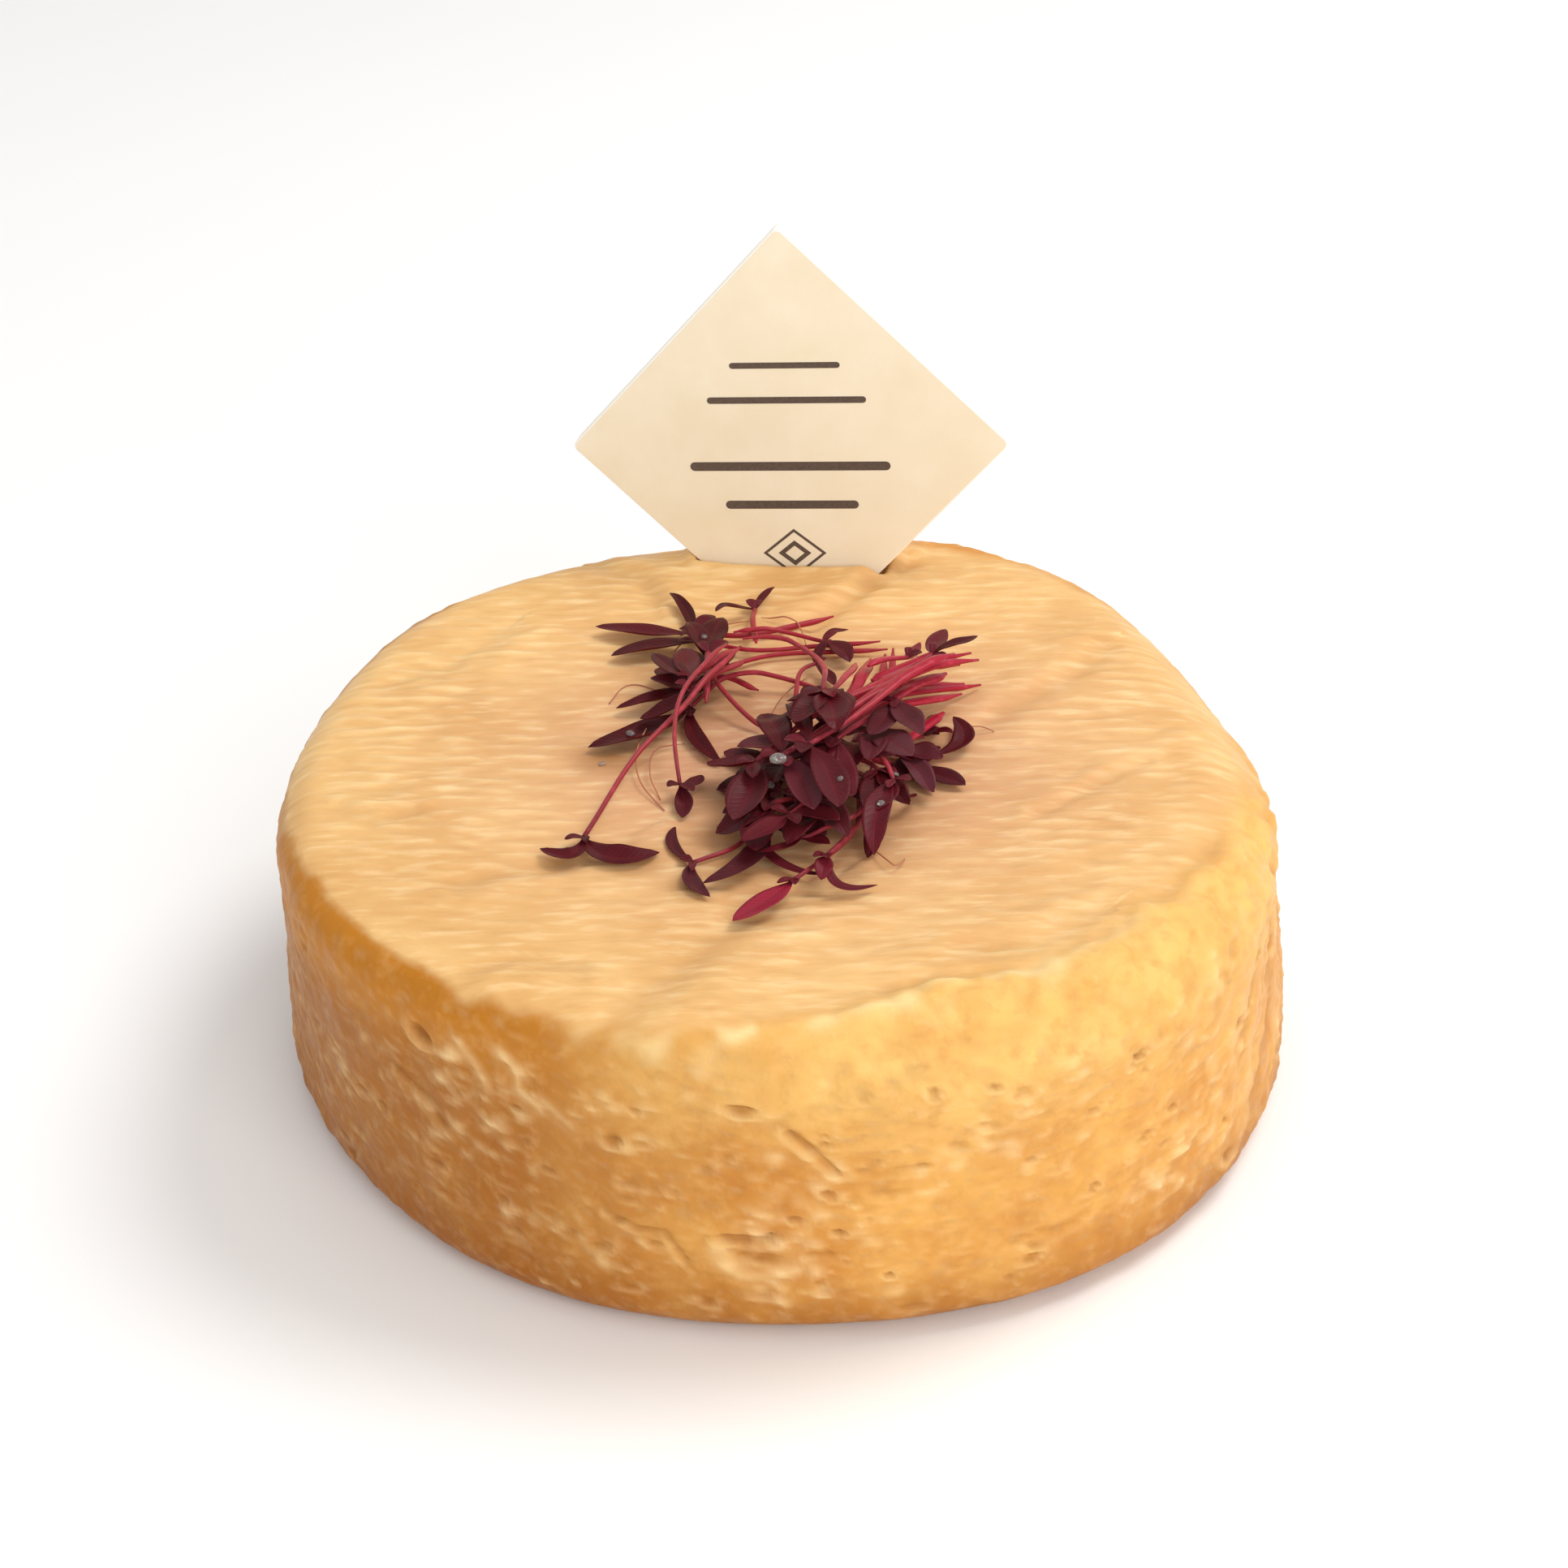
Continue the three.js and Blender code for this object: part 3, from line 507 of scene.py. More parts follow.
def buildWheel(card, materials):
    shape = readWheel()
    points, faces = wheelPoints(shape)
    probe = bpy.data.meshes.new("probe")
    probe.from_pydata(points.tolist(), [], faces)
    normals = np.zeros(len(points) * 3, np.float32)
    probe.vertex_normals.foreach_get("vector", normals)
    bpy.data.meshes.remove(probe)
    normals = normals.reshape(-1, 3).astype(float)
    x, y, z = points.T
    angle = np.arctan2(y, x)
    radius = np.hypot(x, y)
    facing = normals[:, 2]
    height = z / (1 + (shape["slopeX"] * x + shape["slopeY"] * y) / shape["height"])
    base = smoothStep(-0.3, -0.85, facing)
    wall = smoothStep(0.85, 0.35, facing) * (1 - base)
    edge = roundTheWheel(wheel["clothEdge"], angle) + 0.8 * softNoise(points, 6, 12)
    blur = roundTheWheel(wheel["clothBlend"], angle)
    edge += 0.45 * softNoise(points, 3.4, 13) + 0.7 * (blur - 0.8) * softNoise(points, 9, 14)
    cloth = smoothStep(1, -1, (radius - edge) / blur) * (facing > 0)
    rim = smoothStep(33, 46, height) * (1 - cloth) * (1 - base)
    top = smoothStep(3.5, -1.5, radius - edge) * (facing > 0)

    # bearing masks: the puffy yellow rim at the right front, the amber edge at the left
    degrees = np.degrees(angle)
    puffy = smoothStep(-100, -74, degrees) * smoothStep(16, -12, degrees)
    amber = smoothStep(-104, -124, degrees) + smoothStep(140, 175, degrees)
    amber += 0.45 * smoothStep(-24, -4, degrees) * smoothStep(52, 24, degrees)

    topMove, creaseShade, ridges = foldTop(points, x, y, top)
    wallMove, paleFlakeAndGlint = dentWall(points, height, angle, wall)
    squat = points * (1, 1, 2.1)
    lumps = 0.4 * softNoise(points, 15, 20) + 0.22 * softNoise(points * (1, 1, 1.4), 7, 21)
    flakes = softNoise(squat, 3.6, 22)
    grain = softNoise(squat, 1.9, 23)
    sideMove = lumps + 0.26 * flakes + 0.16 * grain
    fold = softNoise(points * (0.8, 0.8, 1.3), 6.5, 24)
    lobes = smoothStep(0, 0.55, np.abs(fold + 0.3 * softNoise(points, 3.2, 26)))
    puffMove = puffy * rim * (0.45 + 0.6 * lobes + 0.42 * softNoise(points, 2.8, 25))
    inward = (0.35 - 0.5 * np.exp(-((degrees + 19) / 6) ** 2) * smoothStep(20, 34, height))
    move = topMove + wallMove + (sideMove + inward) * (1 - top) * (1 - base) + puffMove

    # the card pushes up a lip of rind, with a thin crevice along each face
    away3 = points - np.array(card["centre"])
    deep = np.abs(away3 @ np.array(card["normal"])) - card["thickness"] / 2
    sideways = np.abs(away3 @ np.array(card["across"]))
    drop = -(away3 @ np.array(card["up"]))
    beyond = sideways - (card["reach"] - drop)
    away = np.hypot(np.maximum(deep, 0), np.maximum(beyond, 0))
    near = facing > 0.5
    lipUp = 1.1 * np.exp(-((away - 1.7) / 1.3) ** 2) * near
    crevice = np.exp(-(away / 0.75) ** 2) * near
    move += lipUp - 1.5 * crevice

    points = points + normals * move[:, None]
    points[:, 2] = np.maximum(points[:, 2], 0)
    small = wallMove + 0.26 * flakes + 0.16 * grain
    # painted shade: darker in the pits, in the creases, in the crevice along the card and between the puffy lobes
    hollowShade = np.clip(-small * 1.3, 0, 1) * wall + creaseShade * 0.6 + crevice
    hollowShade += 0.18 * puffy * rim * np.exp(-(fold / 0.08) ** 2)
    # part damp stain, part painted shadow under the leaves
    stainAndShadow = np.zeros(len(points))
    for sx, sy, size, strength in stainsAndShadows:
        ragged = size * (1 + 0.35 * softNoise(points, 4, 26))
        stainAndShadow = np.maximum(stainAndShadow, strength * np.exp(-((x - sx) ** 2 + (y - sy) ** 2) / ragged ** 2) * cloth)
    # upper wall of the puffy rim and front edge painted yellower: partly the rind's own yolk colour, partly
    # painted highlight where it turns up to the light
    upperWallHighlight = smoothStep(28, 47, height) * (1 - cloth) * (1 - base)
    frontEdge = smoothStep(-125, -100, degrees) * smoothStep(-60, -85, degrees)
    # a pale band just past the cloth edge at the front: painted highlight along the rounded edge
    beyondEdge = (radius - edge - 1.2) / (1.6 + softNoise(points, 8, 28))
    edgeHighlight = np.exp(-beyondEdge ** 2) * smoothStep(-118, -98, degrees) * smoothStep(-30, -62, degrees)
    edgeHighlight *= smoothStep(-0.5, 0.4, softNoise(points, 5, 29)) * (facing > 0.2)
    yolkAndHighlight = np.clip(upperWallHighlight * (puffy + 0.6 * frontEdge), 0, 1)
    pinkish = np.exp(-((x - 3) ** 2 / 42 ** 2 + (y + 2) ** 2 / 38 ** 2)) * cloth
    values = {
        "cloth": cloth,
        "hollowShade": np.clip(hollowShade, 0, 1),
        "paleFlakeAndGlint": np.clip(paleFlakeAndGlint + 0.35 * np.clip(flakes * grain * 2, 0, 1) * wall, 0, 1),
        "ridges": np.clip(ridges, 0, 1),
        "stainAndShadow": stainAndShadow,
        "pinkish": pinkish,
        "yolkAndHighlight": yolkAndHighlight * (0.75 + 0.35 * softNoise(points, 7, 27)),
        "amber": np.clip(amber, 0, 1) * smoothStep(34, 46, height) * (1 - cloth),
        # darker towards the left: partly browner rind, partly painted shade on the side away from the key light
        "leftBrownAndShade": smoothStep(-84, -130, degrees) * (degrees < 0) + smoothStep(110, 160, degrees),
        # darker towards the floor: partly amber rind, partly painted shade
        "foot": smoothStep(15, 0, height) * (0.85 + 0.3 * softNoise(points, 9, 30)),
        "edgeHighlight": edgeHighlight,
    }
    piece = addObject("rindFine", points, faces, materials, values=values)
    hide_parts("cheese_wheel")
    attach(piece, "root")
    print("wheel:", len(points), "points")
    return piece


def washedRind():
    # washed-rind cheese: brine-rubbed skin, moist and waxy, light sinks in a few mm
    material, tree = newMaterial("brineWashedRind")

    def mask(name):
        return addNode(tree, "ShaderNodeAttribute", {"attribute_name": name}).outputs["Fac"]

    def blend(first, second, factor, mode="MIX"):
        settings = {"data_type": "RGBA", "blend_type": mode}
        links = {}
        for slot, colour in ((6, first), (7, second)):
            if isinstance(colour, str):
                settings[slot] = hexLinear(colour)
            else:
                links[slot] = colour
        if isinstance(factor, float):
            settings[0] = factor
        else:
            links[0] = factor
        return addNode(tree, "ShaderNodeMix", settings, links).outputs[2]

    spots = addNode(tree, "ShaderNodeTexCoord").outputs["Object"]

    def mottle(size, detail, low, high):
        # size in mm of one patch
        noise = addNode(tree, "ShaderNodeTexNoise", {"Scale": 1 / (size * mm), "Detail": detail,
                                                     "Roughness": 0.6}, {"Vector": spots})
        return addNode(tree, "ShaderNodeMapRange", {"From Min": low, "From Max": high},
                       {"Value": noise.outputs["Fac"]}).outputs[0]

    def share(amount, factor):
        return addNode(tree, "ShaderNodeMath", {"operation": "MULTIPLY", 1: amount}, {0: factor}).outputs[0]

    side = blend("#cc8a3c", "#e3aa58", mottle(14, 3.0, 0.35, 0.65))
    # left side darker: partly browner rind, partly painted shade
    side = blend(side, "#9c5a10", share(0.82, mask("leftBrownAndShade")))
    # yellower upper rim: partly yolk-coloured rind, partly painted highlight
    side = blend(side, "#ecbd6e", mask("yolkAndHighlight"))
    side = blend(side, "#c27c1c", share(0.85, mask("amber")))
    # bottom edge: partly amber rind, partly painted shade near the floor
    side = blend(side, "#96540c", share(0.9, mask("foot")))
    # flecks of drier and of damper rind, two or three millimetres across
    side = blend(side, "#f6cf8e", share(0.13, mottle(2.6, 2.0, 0.5, 0.72)))
    side = blend(side, "#b06c2a", share(0.26, mottle(3.4, 3.0, 0.52, 0.74)))
    # painted highlight along the rounded front edge
    side = blend(side, "#fbe2a6", share(0.8, mask("edgeHighlight")))
    top = blend("#dcab6a", "#e9bd7c", mottle(19, 3.0, 0.35, 0.65))
    top = blend(top, "#cd9577", share(0.95, mask("pinkish")))
    top = blend(top, "#f6dba6", share(0.5, mask("ridges")))
    # weave marks of the cloth, a thread or two apart and drawn a few threads long
    laid = addNode(tree, "ShaderNodeMapping", {"Rotation": (0, 0, math.radians(-wheel["ridgeBearing"])),
                                               "Scale": (1 / (6 * mm), 1 / (1.5 * mm), 1 / (6 * mm))},
                   {"Vector": spots})
    threads = addNode(tree, "ShaderNodeTexNoise", {"Scale": 1.0, "Detail": 2.0, "Roughness": 0.5},
                      {"Vector": laid.outputs[0]}).outputs["Fac"]
    bright = addNode(tree, "ShaderNodeMapRange", {"From Min": 0.54, "From Max": 0.72, "To Max": 0.34},
                     {"Value": threads})
    dull = addNode(tree, "ShaderNodeMapRange", {"From Min": 0.48, "From Max": 0.28, "To Max": 0.26},
                   {"Value": threads})
    top = blend(top, "#f8dfac", bright.outputs[0])
    top = blend(top, "#c08d52", dull.outputs[0])
    # brown under the leaves: part damp stain, part painted shadow
    top = blend(top, "#8d5a26", share(0.75, mask("stainAndShadow")))
    skin = blend(side, top, mask("cloth"))
    # paler flakes and raised lips: partly drier rind, partly painted highlight
    skin = blend(skin, "#f7d9a2", share(0.75, mask("paleFlakeAndGlint")))
    # painted shade in the pits, creases and crevices
    skin = blend(skin, "#9a5c22", share(0.65, mask("hollowShade")))
    # pores and brine crystals of about half a millimetre
    pores = addNode(tree, "ShaderNodeTexNoise", {"Scale": 1 / (0.9 * mm), "Detail": 4.0,
                                                 "Roughness": 0.55}, {"Vector": spots})
    height = addNode(tree, "ShaderNodeMix", {"data_type": "FLOAT"},
                     {0: mask("cloth"), 2: pores.outputs["Fac"], 3: threads})
    relief = addNode(tree, "ShaderNodeBump", {"Strength": 0.4, "Distance": 0.25 * mm},
                     {"Height": height.outputs[0]})
    damp = addNode(tree, "ShaderNodeMapRange", {"To Min": 0.36, "To Max": 0.6},
                   {"Value": mottle(5, 3.0, 0.3, 0.7)})
    rind = addNode(tree, "ShaderNodeBsdfPrincipled", {
        "IOR": 1.45, "Subsurface Weight": 0.3, "Subsurface Scale": 3 * mm,
        "Subsurface Radius": (1.0, 0.5, 0.18), "Specular IOR Level": 0.22,
    }, {"Base Color": skin, "Roughness": damp.outputs[0], "Normal": relief.outputs[0]})
    addNode(tree, "ShaderNodeOutputMaterial", None, {"Surface": rind.outputs[0]})
    return material


cardShape = {
    "edgeRound": 0.35,
    "cornerRound": 1.2,
    # plain rules where a card would carry lines: height above the middle, width, weight
    "rules": [(13.4, 18, 1.0), (7.6, 26, 1.1), (-3.6, 33, 1.5), (-10.2, 22, 1.4)],
    "lozengeHeight": -18.6,
    "lozengeReach": 4.2,
    "inkLift": 0.04,
}


def cardPlace(card, u, v, w):
    spot = card["centre"] + card["across"] * u + card["up"] * v + card["normal"] * w
    return tuple(spot)


def diamondOutline(reach, cornerRound, shrink):
    corner = reach - cornerRound * (math.sqrt(2) - 1) - cornerRound
    outline = []
    for k in range(4):
        towards = k * math.pi / 2
        for step in range(7):
            turn = towards + (step / 6 - 0.5) * math.pi / 2
            outline.append((corner * math.cos(towards) + (cornerRound - shrink) * math.cos(turn),
                            corner * math.sin(towards) + (cornerRound - shrink) * math.sin(turn)))
    return outline


def buildCard(card, board, ink):
    half = card["thickness"] / 2
    soft = cardShape["edgeRound"]
    rings = []
    for step in range(5):
        turn = step / 4 * math.pi / 2
        rings.append((soft * (1 - math.sin(turn)), half - soft + soft * math.cos(turn)))
    rings = [(inset, w) for inset, w in rings] + [(inset, -w) for inset, w in reversed(rings)]
    points, faces = [], []
    count = 0
    for inset, w in rings:
        outline = diamondOutline(card["reach"], cardShape["cornerRound"], inset)
        count = len(outline)
        points += [cardPlace(card, u, v, w) for u, v in outline]
    for k in range(len(rings) - 1):
        for i in range(count):
            j = (i + 1) % count
            faces.append((k * count + i, (k + 1) * count + i, (k + 1) * count + j, k * count + j))
    faces.append(tuple(range(count)))
    faces.append(tuple(reversed(range((len(rings) - 1) * count, len(rings) * count))))
    values = {"core": [0.0 if abs(w) > half - 0.01 else 1.0 for _, w in rings for _ in range(count)]}
    piece = addObject("cardFine", points, faces, [board], values=values)
    sharpen(piece)
    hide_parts("label_card")
    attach(piece, "root")

    lift = half + cardShape["inkLift"]
    points, faces = [], []
    for height, width, weight in cardShape["rules"]:
        addSlab(points, faces, card, ruleOutline(height, width, weight), lift)
    for reach, width in ((cardShape["lozengeReach"], 0.55), (cardShape["lozengeReach"] * 0.52, 0.9)):
        addLozenge(points, faces, card, reach, width, lift)
    piece = addObject("cardRules", points, faces, [ink])
    sharpen(piece)
    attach(piece, "root")
    print("card: board and plain rules")


def sharpen(piece):
    # keeps the flat faces flat where the mesh is shaded smooth
    piece.data.set_sharp_from_angle(angle=math.radians(40))


def ruleOutline(height, width, weight):
    outline = []
    for side in (1, -1):
        for step in range(7):
            turn = (step / 6 - 0.5) * math.pi
            outline.append((side * (width / 2 - weight / 2 + math.cos(turn) * weight / 2),
                            height + side * math.sin(turn) * weight / 2))
    return outline


def addSlab(points, faces, card, outline, lift):
    start, count = len(points), len(outline)
    for w in (lift, lift - 0.06):
        points += [cardPlace(card, u, v, w) for u, v in outline]
    faces.append(tuple(range(start, start + count)))
    faces.append(tuple(reversed(range(start + count, start + 2 * count))))
    for i in range(count):
        j = (i + 1) % count
        faces.append((start + i, start + count + i, start + count + j, start + j))


def addLozenge(points, faces, card, reach, width, lift):
    # an open four-sided frame
    start = len(points)
    for w in (lift, lift - 0.06):
        for size in (reach, reach - width):
            for k in range(4):
                turn = k * math.pi / 2
                points.append(cardPlace(card, size * math.cos(turn) * 1.25,
                                        cardShape["lozengeHeight"] + size * math.sin(turn), w))
    for i in range(4):
        j = (i + 1) % 4
        outer, inner = start, start + 4
        faces.append((outer + i, outer + j, inner + j, inner + i))
        faces.append((outer + 8 + j, outer + 8 + i, inner + 8 + i, inner + 8 + j))
        faces.append((outer + j, outer + i, outer + 8 + i, outer + 8 + j))
        faces.append((inner + i, inner + j, inner + 8 + j, inner + 8 + i))


def uncoatedBoard():
    # uncoated cream board, pressed from pulp: matt, with faint cloudy fibres
    material, tree = newMaterial("uncoatedCreamBoard")
    spots = addNode(tree, "ShaderNodeTexCoord").outputs["Object"]
    cloud = addNode(tree, "ShaderNodeTexNoise", {"Scale": 1 / (9 * mm), "Detail": 4.0}, {"Vector": spots})
    fibre = addNode(tree, "ShaderNodeTexNoise", {"Scale": 1 / (0.7 * mm), "Detail": 5.0,
                                                 "Distortion": 0.6}, {"Vector": spots})
    face = addNode(tree, "ShaderNodeMix", {"data_type": "RGBA", 6: hexLinear("#ecdcb9"),
                                           7: hexLinear("#f9eed8")}, {0: cloud.outputs["Fac"]})
    core = addNode(tree, "ShaderNodeAttribute", {"attribute_name": "core"})
    tone = addNode(tree, "ShaderNodeMix", {"data_type": "RGBA", 7: hexLinear("#fffaee")},
                   {0: core.outputs["Fac"], 6: face.outputs[2]})
    relief = addNode(tree, "ShaderNodeBump", {"Strength": 0.25, "Distance": 0.08 * mm},
                     {"Height": fibre.outputs["Fac"]})
    board = addNode(tree, "ShaderNodeBsdfPrincipled", {"Roughness": 0.72, "IOR": 1.45},
                    {"Base Color": tone.outputs[2], "Normal": relief.outputs[0]})
    addNode(tree, "ShaderNodeOutputMaterial", None, {"Surface": board.outputs[0]})
    return material


def printedInk():
    # brown-black ink printed on board: thin, sinks in unevenly
    material, tree = newMaterial("printedBrownInk")
    spots = addNode(tree, "ShaderNodeTexCoord").outputs["Object"]
    uneven = addNode(tree, "ShaderNodeTexNoise", {"Scale": 1 / (0.5 * mm), "Detail": 3.0}, {"Vector": spots})
    tone = addNode(tree, "ShaderNodeMix", {"data_type": "RGBA", 6: hexLinear("#43342b"),
                                           7: hexLinear("#6a584a")}, {0: uneven.outputs["Fac"]})
    ink = addNode(tree, "ShaderNodeBsdfPrincipled", {"Roughness": 0.6}, {"Base Color": tone.outputs[2]})
    addNode(tree, "ShaderNodeOutputMaterial", None, {"Surface": ink.outputs[0]})
    return material


# each in plan, as it was laid: the stem's points, its radius, and its leaves as
# tip x, tip y, width and sideways bow
seedlingPlan = [
    # left clump: stems running right, seed leaves at the left
    ([(10.5, 38.5), (4, 36), (-4, 33.5), (-12, 35)], 0.5,
     [(-27.4, 37, 3.7, 0.6), (-15.6, 46.5, 1.8, -1)]),
    ([(17.5, 30), (8, 29.5), (-3, 28.5), (-11, 31)], 0.4,
     [(-24.8, 28, 3.9, -0.8), (-8.5, 37.5, 3.2, 0.6)]),
    ([(18.5, 27.4), (9, 27.4), (0, 27), (-8.5, 23)], 0.4, [(-17, 13.5, 3.8, 0.8), (-14, 32, 3.4, -1)]),
    ([(-2, 16), (-7, 19), (-12, 17)], 0.4, [(-23.8, 11.8, 2.7, 1), (-17.4, 23, 4, 0.5)]),
    ([(12, 11.5), (4, 16.5), (-5, 18), (-12.5, 11.5)], 0.4, [(-27.8, 0.5, 5, 2), (-8, -5.5, 2.4, -1.6)]),
    ([(-1, 4), (-4, 7), (-7.5, 12), (-9, 16)], 0.4, [(-13.6, 26, 4, 0.5), (-6.5, 25, 3, -0.6)]),
    ([(-2, 28), (-2.4, 36), (-2, 42)], 0.5, [(1.4, 48.5, 1.1, 0.5), (-8.2, 36, 1.3, -1)]),
    ([(-5.5, 30), (2, 30.4), (8.5, 28.5)], 0.4, [(12.4, 23.2, 3, 0.6), (12.6, 32, 1.1, 1)]),
    ([(1.5, 3.5), (3.5, 10.5), (4.5, 17), (7, 21.8)], 0.4, [(9.6, 16.6, 1.7, 0.5), (9.2, 26, 1.4, 0.5)]),
    ([(-10, 8), (-9.6, 14), (-9.4, 21)], 0.5, [(-7, 32.5, 4, 0.5), (-12.5, 30, 3.4, -0.4)]),
    ([(-4, 19.6), (-7, 13.6), (-12, 8.6)], 0.45, [(-18.4, 16.6, 3.6, -0.8), (-20, 5.6, 3, 0.6)]),
    ([(-5.2, 21.4), (-8, 16), (-11.6, 11)], 0.5, [(-12.6, 22, 3.8, 0.6), (-18, 21, 3, 0.4)]),
    # long stems running down the front from the left clump
    ([(-4.4, 18), (-8, 11.4), (-13, 3.8), (-20, -5), (-27.8, -24)], 0.45,
     [(-34, -26.5, 2.6, 3.6), (-17, -28.8, 4, -3.6)]),
    ([(-6.4, 18), (-10.2, 10), (-13.8, 2), (-14.6, -6), (-14, -13.5)], 0.38,
     [(-13.8, -20, 2.4, 0.4), (-11, -9.2, 2, -0.6)]),
    # the lowest seedlings of the middle clump, reaching out to the front
    ([(2, -14), (-3, -22), (-6.5, -28), (-12.3, -31.3)], 0.4,
     [(-14.8, -22.3, 1.5, 1.6), (-10, -40.4, 2.1, -1.5)]),
    ([(1, -10), (-1, -17), (-3, -23)], 0.45, [(-11, -38.2, 3.7, 3.6), (6.5, -36, 1.4, -3.6)]),
    ([(12, -10), (11, -24), (7.5, -31.5), (1.8, -38.2)], 0.4, [(-7, -46.6, 3.9, 0.4)]),
    ([(14, -8), (12.5, -22), (9.2, -30.5), (6.6, -34.6)], 0.5,
     [(5.4, -39, 2.3, 0), (13.2, -39.2, 1.3, -3.6)]),
    ([(14, -20), (9.6, -27.4), (3, -29)], 0.4, [(-3.2, -32.6, 1.1, 0.8), (7, -31, 1.8, 0.3)]),
    # the right-hand end
    ([(12, -12), (13, -17), (14.6, -21.4)], 0.4, [(19.9, -15.6, 1.2, -1.6), (12.2, -31.5, 2.8, 0.4)]),
    ([(14, -5), (17, -7), (20, -8)], 0.45, [(27.4, -14, 3.2, 0.3), (22.8, -14.8, 1.3, -0.3)]),
    ([(15, -2), (19, -4.4), (22.8, -5.4)], 0.45, [(27, 4.2, 3, -3.3), (17.5, -12.6, 3.4, -0.6)]),
    ([(16, -1), (19, 0.6), (22.3, 1)], 0.4, [(24.6, 5.6, 1.4, 0.3), (26.6, -1.4, 1.1, 0.4)]),
    # the middle clump, from the bottom up; the long stems fan out to the right
    ([(6, -13), (4, -15), (1, -17)], 0.4, [(-8, -21, 5, 0.8), (6.6, -26, 4.6, -0.6)]),
    ([(12, -11), (9, -13), (6.5, -15)], 0.4, [(3, -27, 4.8, 0.8), (12, -23.5, 4.4, 0.6)]),
    ([(4, -20), (1.5, -21), (-1, -22)], 0.4, [(-9, -27, 5, 0.7), (-3.4, -33.6, 4.8, -0.6)]),
    ([(9, -16), (7, -19), (5, -21)], 0.4, [(1, -32, 5, 0.6), (9.6, -32, 4.2, -0.4)]),
    ([(12, -12), (13.6, -14), (14.6, -17)], 0.4, [(12.4, -28, 4, 0.5), (18.6, -26, 3.2, -0.5)]),
    ([(2, -2), (0.5, -5), (-0.5, -9)], 0.4, [(-8.8, -12.5, 5, 0.8), (-7.6, -2, 4.4, -0.6)]),
    ([(4, -25), (3, -26), (1.6, -27.4)], 0.4, [(-5.4, -32.6, 3.8, 0.6), (8.6, -30, 3.4, 0.5)]),
    ([(15, -15), (16, -18), (16.6, -22)], 0.4, [(13, -35.5, 3.8, -0.8), (13.4, -29, 3.4, 0.4)]),
    ([(25.6, 4.6), (21, -1.6), (18, -8)], 0.5, [(24, -10, 4.4, 0.4), (22.4, -17.4, 3.2, 0.4)]),
    ([(18, 25.5), (16.4, 13), (14, 3), (11.6, -4)], 0.65, [(17.8, 0, 3.8, 0.5), (11, -16, 4.4, 0.4)]),
    ([(19.2, 24), (18, 11), (16.4, 1), (14.6, -6.5)], 0.55,
     [(19.6, -18, 4.8, -0.6), (13.2, -18, 4, 0.5)]),
    ([(29.5, 15.5), (21, 8.5), (12.5, 1), (5.6, -4)], 0.5, [(-5.6, -3, 5, -0.6), (4.8, -14, 4.6, 0.6)]),
    ([(29, 17.5), (20, 9.5), (12, 1.6), (4.6, -6)], 0.5, [(-6, -11, 4.8, 0.5), (-1, -17, 4.8, -0.6)]),
    ([(32, 15), (24.5, 8.6), (16, 0), (8, -8.5)], 0.5, [(6.6, -20, 4.6, -0.6), (-2, -12.6, 4.4, 0.8)]),
    ([(15.5, 20), (14.4, 10), (12, 1), (8, -5)], 0.6, [(-1.6, 0, 4.4, -0.5), (5.4, -16, 4.6, 0.6)]),
    ([(28.6, 8.6), (22, 2), (14, -6.5), (9, -12.5)], 0.5,
     [(2.6, -22, 4.8, 0.6), (10.6, -24.6, 4.2, -0.5)]),
    ([(26.4, 9.5), (22, 4), (18, -3.4)], 0.6, [(13.6, -12.6, 4, 0.6), (21.4, -13, 4, -0.5)]),
    ([(30.4, 12.4), (22, 5.6), (12, -2.6), (4, -9.6), (-2.8, -15.5)], 0.5,
     [(-6.4, -28, 5.6, 0.6), (-10, -8.6, 4.6, -0.5)]),
    ([(31.4, 11), (23.4, 3.8), (14, -5), (6, -13), (1, -17.6)], 0.55,
     [(5, -29.4, 4.8, 0.8), (-1.8, -6.5, 4.6, -0.7)]),
    ([(27.4, 5.4), (20, -1.4), (12.6, -9.6), (5, -17.5)], 0.5,
     [(8.4, -31, 4.8, 0.8), (2.2, -6.4, 2.8, -0.4)]),
    ([(13, 14.5), (12, 7), (9, -3)], 0.4, [(2.2, 1, 3.4, 0.6), (9.6, -13, 4, 0.6)]),
    ([(-4, 18), (1.5, 18), (6, 11), (8, 2.6), (7.4, -5.6)], 0.4,
     [(8.8, -17, 5.4, 0.5), (2.8, -14.6, 4.2, 0.5)]),
    # upright leaves at the back of the fan
    ([(15, 4), (19, 7), (24.4, 10)], 0.5, [(27.2, 21, 2.8, 0.5), (31.6, 14, 1.7, -0.4)]),
    ([(14.6, 6), (17.6, 10), (21, 13.6)], 0.4, [(23.4, 23.6, 1.7, 0.4)]),
]

seedlingShape = {
    "stemSides": 9,
    "stemRings": 26,
    "leafRings": 18,
    "leafColumns": 8,
    "leafThick": 0.3,
    "cadLeafSteps": 6,
    "cadStemSteps": 9,
}


